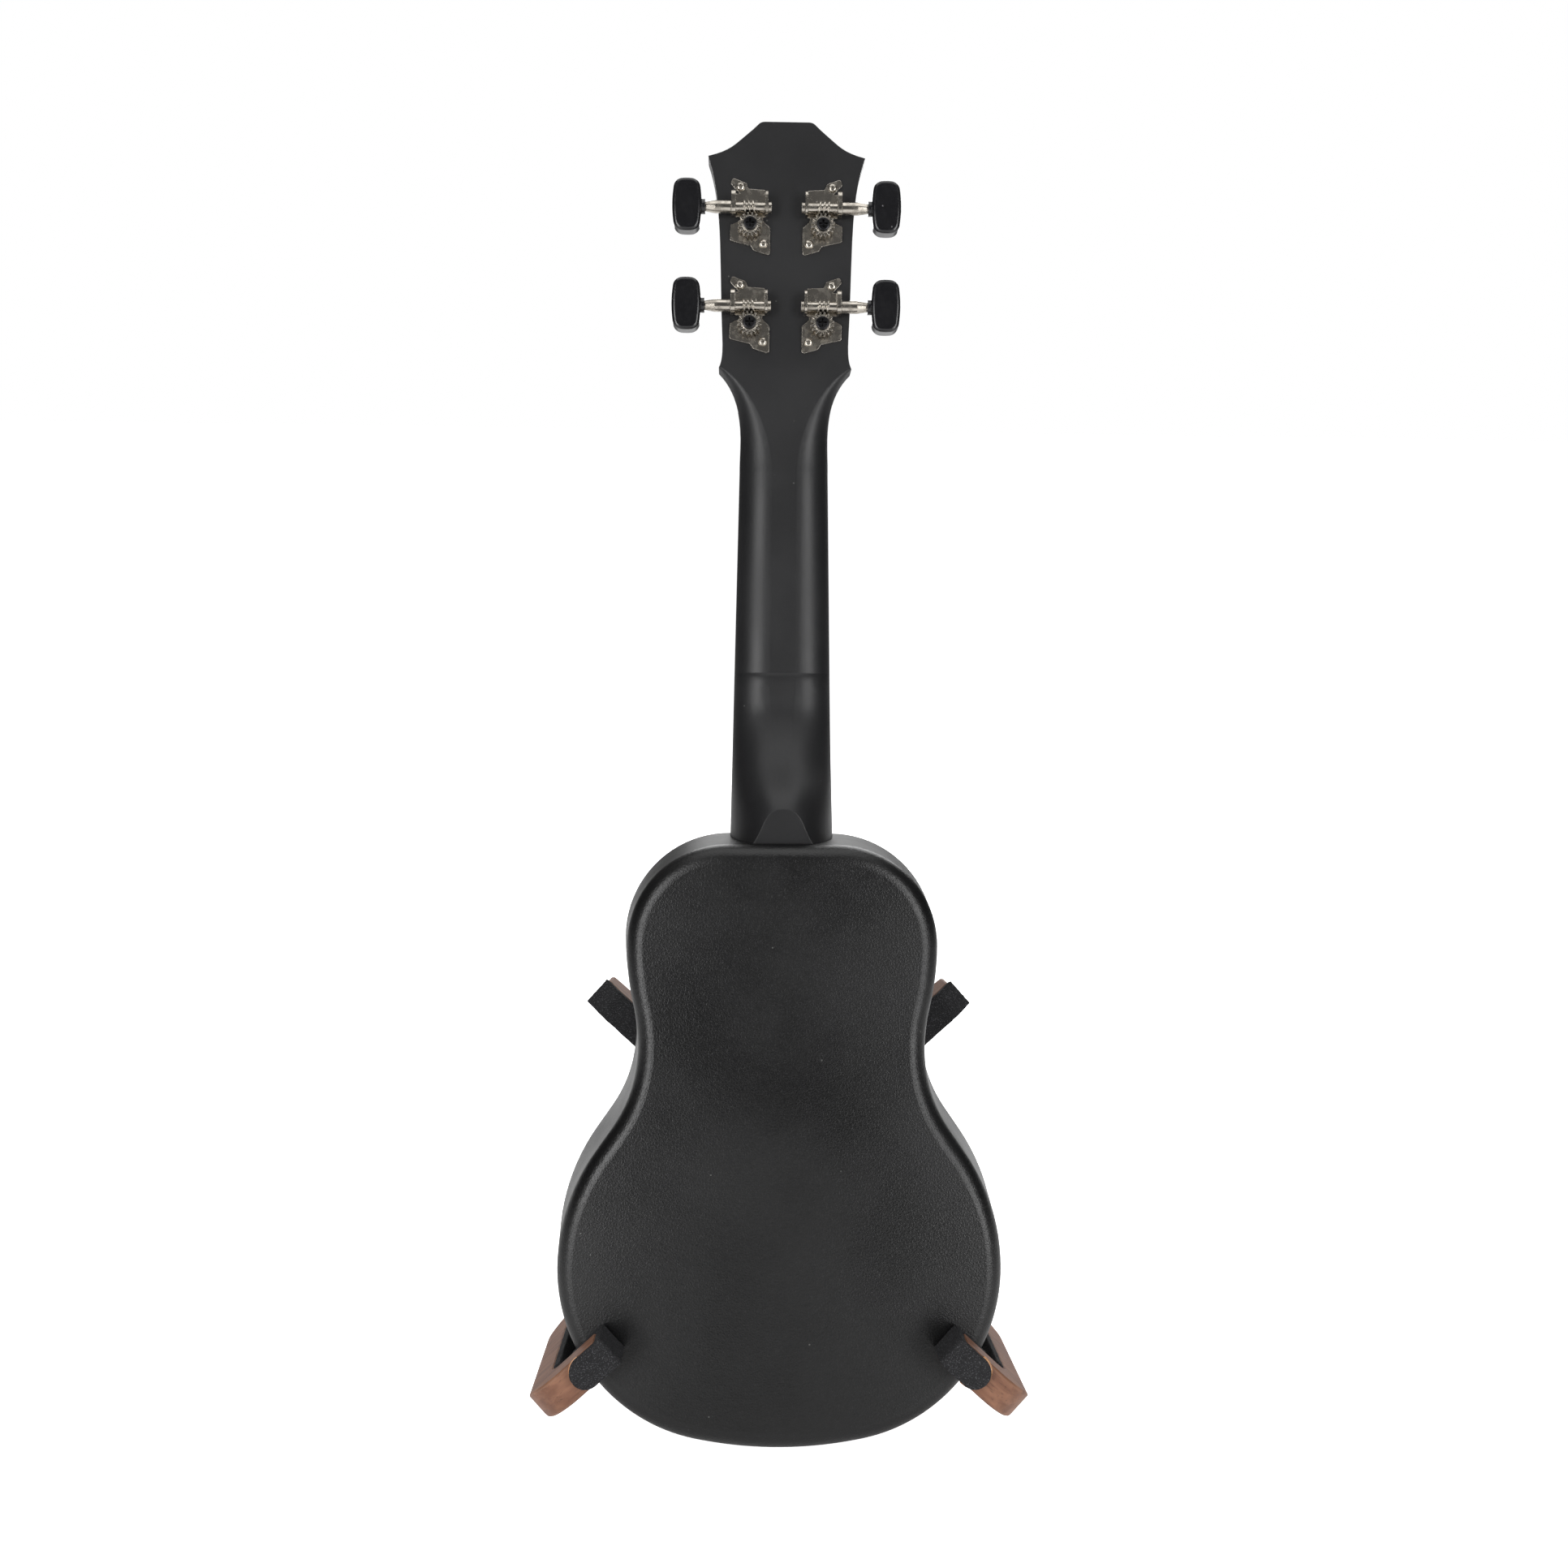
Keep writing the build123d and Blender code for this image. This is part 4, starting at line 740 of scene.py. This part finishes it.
def makeFretBar():
    tang, tangHalf, crownHalf = fretLook["tang"], fretLook["tangHalf"], fretLook["crownHalf"]
    shoulder, sections = fretLook["shoulder"], fretLook["sections"]
    outline = [(-tang, tangHalf), (-shoulder, tangHalf), (0.0, crownHalf)]
    for step in range(1, fretLook["crownSteps"]):
        angle = math.pi * step / fretLook["crownSteps"]
        outline.append((fretLook["crownHeight"] * math.sin(angle), crownHalf * math.cos(angle)))
    outline += [(0.0, -crownHalf), (-shoulder, -tangHalf), (-tang, -tangHalf)]
    points, faces, ring = [], [], len(outline)
    for x, share in sections:
        points += [(x, y * (share if y > 0 else 1) * mm, z * mm) for y, z in outline]
    for row in range(len(sections) - 1):
        for i in range(ring):
            a, b = row * ring + i, row * ring + (i + 1) % ring
            faces.append((a, b, b + ring, a + ring))
    lastRing = range((len(sections) - 1) * ring, len(sections) * ring)
    faces += [tuple(reversed(range(ring))), tuple(lastRing)]
    mesh = meshFrom("fretBar", points, (), faces)
    work = bmesh.new()
    work.from_mesh(mesh)
    bmesh.ops.recalc_face_normals(work, faces=work.faces)
    work.to_mesh(mesh)
    work.free()
    return mesh


def makeFretTree():
    inputs = geometryIn + [
        ("Count", intKind, 14), ("Scale Length", floatKind, 0.346), ("Nut", floatKind, 0.4),
        ("Top", floatKind, 0.0), ("Half At Nut", floatKind, 0.0174), ("Widening", floatKind, 0.01),
        ("Material", materialKind, None),
    ]
    tree, given, out = newTree("fretWires", "GeometryNodeTree", inputs, geometryOut)
    spots = addNode(tree, "GeometryNodePoints", {"Count": given["Count"]}).outputs[0]
    number = maths(tree, "ADD", addNode(tree, "GeometryNodeInputIndex").outputs[0], 1.0)
    left = maths(tree, "POWER", 2.0, maths(tree, "DIVIDE", number, -12.0))
    distance = maths(tree, "MULTIPLY", given["Scale Length"], maths(tree, "SUBTRACT", 1.0, left))
    height = maths(tree, "SUBTRACT", given["Nut"], distance)
    half = maths(tree, "ADD", given["Half At Nut"], maths(tree, "MULTIPLY", distance, given["Widening"]))
    place = addNode(tree, "ShaderNodeCombineXYZ", {0: 0.0, 1: given["Top"], 2: height}).outputs[0]
    size = addNode(tree, "ShaderNodeCombineXYZ", {0: half, 1: 1.0, 2: 1.0}).outputs[0]
    vectorData = {"data_type": "FLOAT_VECTOR"}
    stored = {"Geometry": spots, "Name": "barSize", "Value": size}
    kept = addNode(tree, "GeometryNodeStoreNamedAttribute", stored, domain="POINT", **vectorData).outputs[0]
    placed = addNode(tree, "GeometryNodeSetPosition", {"Geometry": kept, "Position": place}).outputs[0]
    read = addNode(tree, "GeometryNodeInputNamedAttribute", {"Name": "barSize"}, **vectorData).outputs[0]
    wanted = {"Points": placed, "Instance": given["Geometry"], "Scale": read}
    bars = addNode(tree, "GeometryNodeInstanceOnPoints", wanted).outputs[0]
    closeTree(tree, bars, given, out)
    return tree


nutLow, nutHigh = leanBox("nut")
boardLow, boardHigh = leanBox("fretboard")
saddleLow, saddleHigh = leanBox("saddle")
nutLine = nutLow.z - 0.1 * mm  # the frets are measured from here
halfAtNut, halfAtEnd = (nutHigh.x - nutLow.x) / 2, (boardHigh.x - boardLow.x) / 2
frets = runTree("fret_wires", makeFretTree(), makeFretBar(), {
    "Count": fretLook["count"],
    "Scale Length": nutLine - (saddleLow.z + saddleHigh.z) / 2,
    "Nut": nutLine,
    "Top": boardHigh.y,
    "Half At Nut": halfAtNut - fretLook["endInset"] * mm,
    "Widening": (halfAtEnd - halfAtNut) / (nutLine - boardLow.z),
    "Material": finishes["fretMetal"],
})
frets.data.set_sharp_from_angle(angle=math.radians(fretLook["sharpAngle"]))
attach(frets, "ukulele")
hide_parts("frets")

# Crosshead screws that hold the tuner plates
screwLook = {
    # radius and height, from the rim to the top
    "profile": ((1.75, 0.0), (1.75, 0.32), (1.62, 0.62), (1.35, 0.88), (0.95, 1.03), (0.0, 1.1)),
    "height": 1.1, "sides": 32, "spots": ((-3.9, 16.4), (5.4, -6.5)), "turnSeed": 4, "sharpAngle": 35,
    "recess": 0.62, "crossReach": 1.05, "crossWide": 0.34, "crossNarrow": 0.16,
    "crossTop": 1.4, "crossTaper": 0.6,
}


def makeScrewHead():
    profile, sides = screwLook["profile"], screwLook["sides"]
    work = bmesh.new()
    rings = []
    for radius, height in profile[:-1]:
        ring = []
        for i in range(sides):
            angle = 2 * math.pi * i / sides
            spot = (radius * math.cos(angle) * mm, -height * mm, radius * math.sin(angle) * mm)
            ring.append(work.verts.new(spot))
        rings.append(ring)
    tip = work.verts.new((0, -profile[-1][1] * mm, 0))
    for low, high in zip(rings, rings[1:]):
        for i in range(sides):
            work.faces.new((low[i], low[(i + 1) % sides], high[(i + 1) % sides], high[i]))
    for i in range(sides):
        work.faces.new((rings[-1][i], rings[-1][(i + 1) % sides], tip))
    work.faces.new(rings[0])
    bmesh.ops.recalc_face_normals(work, faces=work.faces)
    head = linkPiece("screwHead", bpy.data.meshes.new("screwHead"))
    work.to_mesh(head.data)
    work.free()
    levels = (
        (screwLook["crossReach"], screwLook["crossWide"], screwLook["crossTop"]),
        (
            screwLook["crossReach"] * screwLook["crossTaper"],
            screwLook["crossNarrow"],
            screwLook["height"] - screwLook["recess"],
        ),
    )
    star = []
    for reach, half, y in levels:
        for c, s in ((1, 0), (0, 1), (-1, 0), (0, -1)):
            for u, v in ((reach, -half), (reach, half), (half, half)):
                star.append(((u * c - v * s) * mm, -y * mm, (u * s + v * c) * mm))
    faces = [tuple(range(12)), tuple(reversed(range(12, 24)))]
    faces += [(i, (i + 1) % 12, (i + 1) % 12 + 12, i + 12) for i in range(12)]
    cutter = linkPiece("screwCross", meshFrom("screwCross", star, (), faces))
    work = bmesh.new()
    work.from_mesh(cutter.data)
    bmesh.ops.recalc_face_normals(work, faces=work.faces)
    work.to_mesh(cutter.data)
    work.free()
    cut = head.modifiers.new("cross", "BOOLEAN")
    cut.operation, cut.object, cut.solver = "DIFFERENCE", cutter, "EXACT"
    bakeModifiers(head)
    bpy.data.objects.remove(cutter)
    return head


def makeScrewTree():
    inputs = geometryIn + [
        ("Head", objectKind, None), ("Size", floatKind, 1.0), ("Seed", intKind, 4),
        ("Material", materialKind, None),
    ]
    tree, given, out = newTree("crossheadScrews", "GeometryNodeTree", inputs, geometryOut)
    head = addNode(tree, "GeometryNodeObjectInfo", {"Object": given["Head"]}).outputs["Geometry"]
    turn = addNode(tree, "FunctionNodeRandomValue", {"Seed": given["Seed"]}, data_type="FLOAT_VECTOR")
    turn.inputs[0].default_value, turn.inputs[1].default_value = (0, 0, 0), (0, math.pi / 2, 0)
    wanted = {"Points": given["Geometry"], "Instance": head, "Rotation": turn.outputs[0]}
    heads = addNode(tree, "GeometryNodeInstanceOnPoints", wanted).outputs[0]
    sizes = {"Instances": heads, "Scale": given["Size"]}
    sized = addNode(tree, "GeometryNodeScaleInstances", sizes).outputs[0]
    closeTree(tree, sized, given, out)
    return tree


plateFront = leanBox("tuner_screws")[0].y + screwLook["height"] * mm
screwPoints = []
for corner in corners:
    centre = toLean(joints["post_" + corner + "_turn"]["pos_m"])
    inward = 1 if centre.x < 0 else -1
    for x, up in screwLook["spots"]:
        screwPoints.append((centre.x + inward * x * mm, plateFront, centre.z + up * mm))
screwHead = makeScrewHead()
screwValues = {"Head": screwHead, "Size": 1.0, "Seed": screwLook["turnSeed"], "Material": finishes["nickel"]}
screws = runTree("tuner_plate_screws", makeScrewTree(), meshFrom("screwSpots", screwPoints), screwValues)
bpy.data.objects.remove(screwHead)
screws.data.set_sharp_from_angle(angle=math.radians(screwLook["sharpAngle"]))
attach(screws, "ukulele")
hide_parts("tuner_screws")

# Rings laid into the soundboard round the sound hole
rosetteLook = {
    "rings": ((26.2, 0.5), (28.4, 1.6), (30.6, 0.5)),  # radius, width
    "proud": 0.12, "sunk": 0.3, "holeBelowTop": 79.6, "steps": 120, "sharpAngle": 40,
}


def makeRosetteTree():
    inputs = geometryIn + [
        ("Proud", floatKind, 0.12), ("Sunk", floatKind, 0.3), ("Material", materialKind, None),
    ]
    tree, given, out = newTree("rosetteRings", "GeometryNodeTree", inputs, geometryOut)
    joined = addNode(tree, "GeometryNodeJoinGeometry")
    thick = maths(tree, "MULTIPLY", maths(tree, "ADD", given["Proud"], given["Sunk"]), mm)
    for radius, width in rosetteLook["rings"]:
        ringShape = {"Resolution": rosetteLook["steps"], "Radius": radius * mm}
        circle = addNode(tree, "GeometryNodeCurvePrimitiveCircle", ringShape).outputs[0]
        flat = {"Width": width * mm, "Height": thick}
        strip = addNode(tree, "GeometryNodeCurvePrimitiveQuadrilateral", flat).outputs[0]
        swept = {"Curve": circle, "Profile Curve": strip}
        ring = addNode(tree, "GeometryNodeCurveToMesh", swept).outputs[0]
        tree.links.new(ring, joined.inputs[0])
    upright = {"Geometry": joined.outputs[0], "Rotation": (math.pi / 2, 0, 0)}
    turned = addNode(tree, "GeometryNodeTransform", upright).outputs[0]
    wanted = {"Points": given["Geometry"], "Instance": turned}
    spots = addNode(tree, "GeometryNodeInstanceOnPoints", wanted).outputs[0]
    closeTree(tree, spots, given, out)
    return tree


boardTop = leanBox("soundboard")[1]
holeDepth = boardTop.y + (rosetteLook["proud"] - rosetteLook["sunk"]) / 2 * mm
holePlace = (0.0, holeDepth, boardTop.z - rosetteLook["holeBelowTop"] * mm)
rosetteValues = {
    "Proud": rosetteLook["proud"], "Sunk": rosetteLook["sunk"], "Material": finishes["dotInlay"],
}
rosetteSpot = meshFrom("rosetteSpot", [holePlace])
rosette = runTree("sound_hole_rosette", makeRosetteTree(), rosetteSpot, rosetteValues)
rosette.data.set_sharp_from_angle(angle=math.radians(rosetteLook["sharpAngle"]))
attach(rosette, "ukulele")
print("frets, screws and rosette made")

# Floor, light and camera
white = (1.0, 1.0, 1.0, 1.0)
stageLook = {
    "floorSize": 60.0, "floorColour": (0.93, 0.93, 0.93, 1.0), "floorRoughness": 0.7,
    "floorGlow": 0.88, "floorSpill": 0.04, "around": 0.03, "above": 0.22,
}
halfFloor = stageLook["floorSize"] / 2
floorCorners = [(x * halfFloor, y * halfFloor, 0) for x, y in ((-1, -1), (1, -1), (1, 1), (-1, 1))]
floorMesh = meshFrom("floor", floorCorners, (), [(0, 1, 2, 3)])
floor = linkPiece("floor", floorMesh)
floorMaterial = bpy.data.materials.new("paleFloor")
floorMaterial.use_nodes = True
floorTree = floorMaterial.node_tree
floorShader = floorTree.nodes["Principled BSDF"]
floorShader.inputs["Base Color"].default_value = stageLook["floorColour"]
floorShader.inputs["Roughness"].default_value = stageLook["floorRoughness"]
floorShader.inputs["Emission Color"].default_value = white
# The floor glows fully for the camera only, so that it looks pale but hardly lights the pieces from below.
floorSeen = addNode(floorTree, "ShaderNodeLightPath").outputs["Is Camera Ray"]
floorGlow = levelRange(floorTree, floorSeen, stageLook["floorSpill"], stageLook["floorGlow"])
floorTree.links.new(floorGlow, floorShader.inputs["Emission Strength"])
floorMesh.materials.append(floorMaterial)


def makeWorld():
    world = bpy.data.worlds.new("paleRoom")
    bpy.context.scene.world = world
    world.use_nodes = True
    tree = world.node_tree
    glow = tree.nodes["Background"]
    place = addNode(tree, "ShaderNodeTexCoord").outputs["Generated"]
    height = addNode(tree, "ShaderNodeSeparateXYZ", {0: place}).outputs[2]
    shade = levelRange(tree, height, stageLook["around"], stageLook["above"])
    seen = addNode(tree, "ShaderNodeLightPath").outputs["Is Camera Ray"]
    tree.links.new(blendValue(tree, seen, shade, 1.0), glow.inputs["Strength"])
    glow.inputs["Color"].default_value = white


makeWorld()

lamps = {
    # name: place, aim, width, height, power
    "overheadSoftbox": ((0.0, -0.05, 1.45), (0.0, -0.02, 0.25), 1.3, 1.3, 8.0),
    "leftSoftbox": ((-0.76, -1.05, 0.50), (0.0, -0.05, 0.28), 0.5, 1.1, 12.5),
    "rightSoftbox": ((0.78, -1.05, 0.50), (0.0, -0.05, 0.28), 0.5, 1.1, 11.0),
    "backSoftbox": ((0.2, 1.2, 0.9), (0.0, 0.0, 0.25), 1.2, 1.0, 12.0),
}
for name, (place, aim, width, height, power) in lamps.items():
    light = bpy.data.lights.new(name, "AREA")
    light.shape, light.size, light.size_y, light.energy = "RECTANGLE", width, height, power
    lamp = bpy.data.objects.new(name, light)
    bpy.context.scene.collection.objects.link(lamp)
    lamp.location = place
    lamp.rotation_euler = (Vector(aim) - Vector(place)).to_track_quat("-Z", "Y").to_euler()

cameraLook = {
    "lens": 40.8, "sensor": 36.0, "nearest": 0.01, "distance": 0.683,
    "across": -0.0001, "aboveBottom": 0.2602, "yaw": 1.5, "roll": 0.46,
}
aimAt = leanMatrix @ Vector((cameraLook["across"], bodyLow.y, bodyLow.z + cameraLook["aboveBottom"]))
turnAround = Matrix.Rotation(math.radians(-cameraLook["yaw"]), 3, upAxis)
looking = turnAround @ depthAxis
rollTurn = Matrix.Rotation(math.radians(-cameraLook["roll"]), 3, looking)
cameraUp = rollTurn @ upAxis
camera = bpy.data.objects.new("camera", bpy.data.cameras.new("camera"))
bpy.context.scene.collection.objects.link(camera)
camera.data.lens, camera.data.sensor_width = cameraLook["lens"], cameraLook["sensor"]
camera.data.clip_start = cameraLook["nearest"]
axes = Matrix((looking.cross(cameraUp), cameraUp, -looking)).transposed()
camera.matrix_world = Matrix.Translation(aimAt - looking * cameraLook["distance"]) @ axes.to_4x4()
bpy.context.scene.camera = camera
bpy.context.scene.view_settings.view_transform = "Standard"
print("floor, light and camera made")
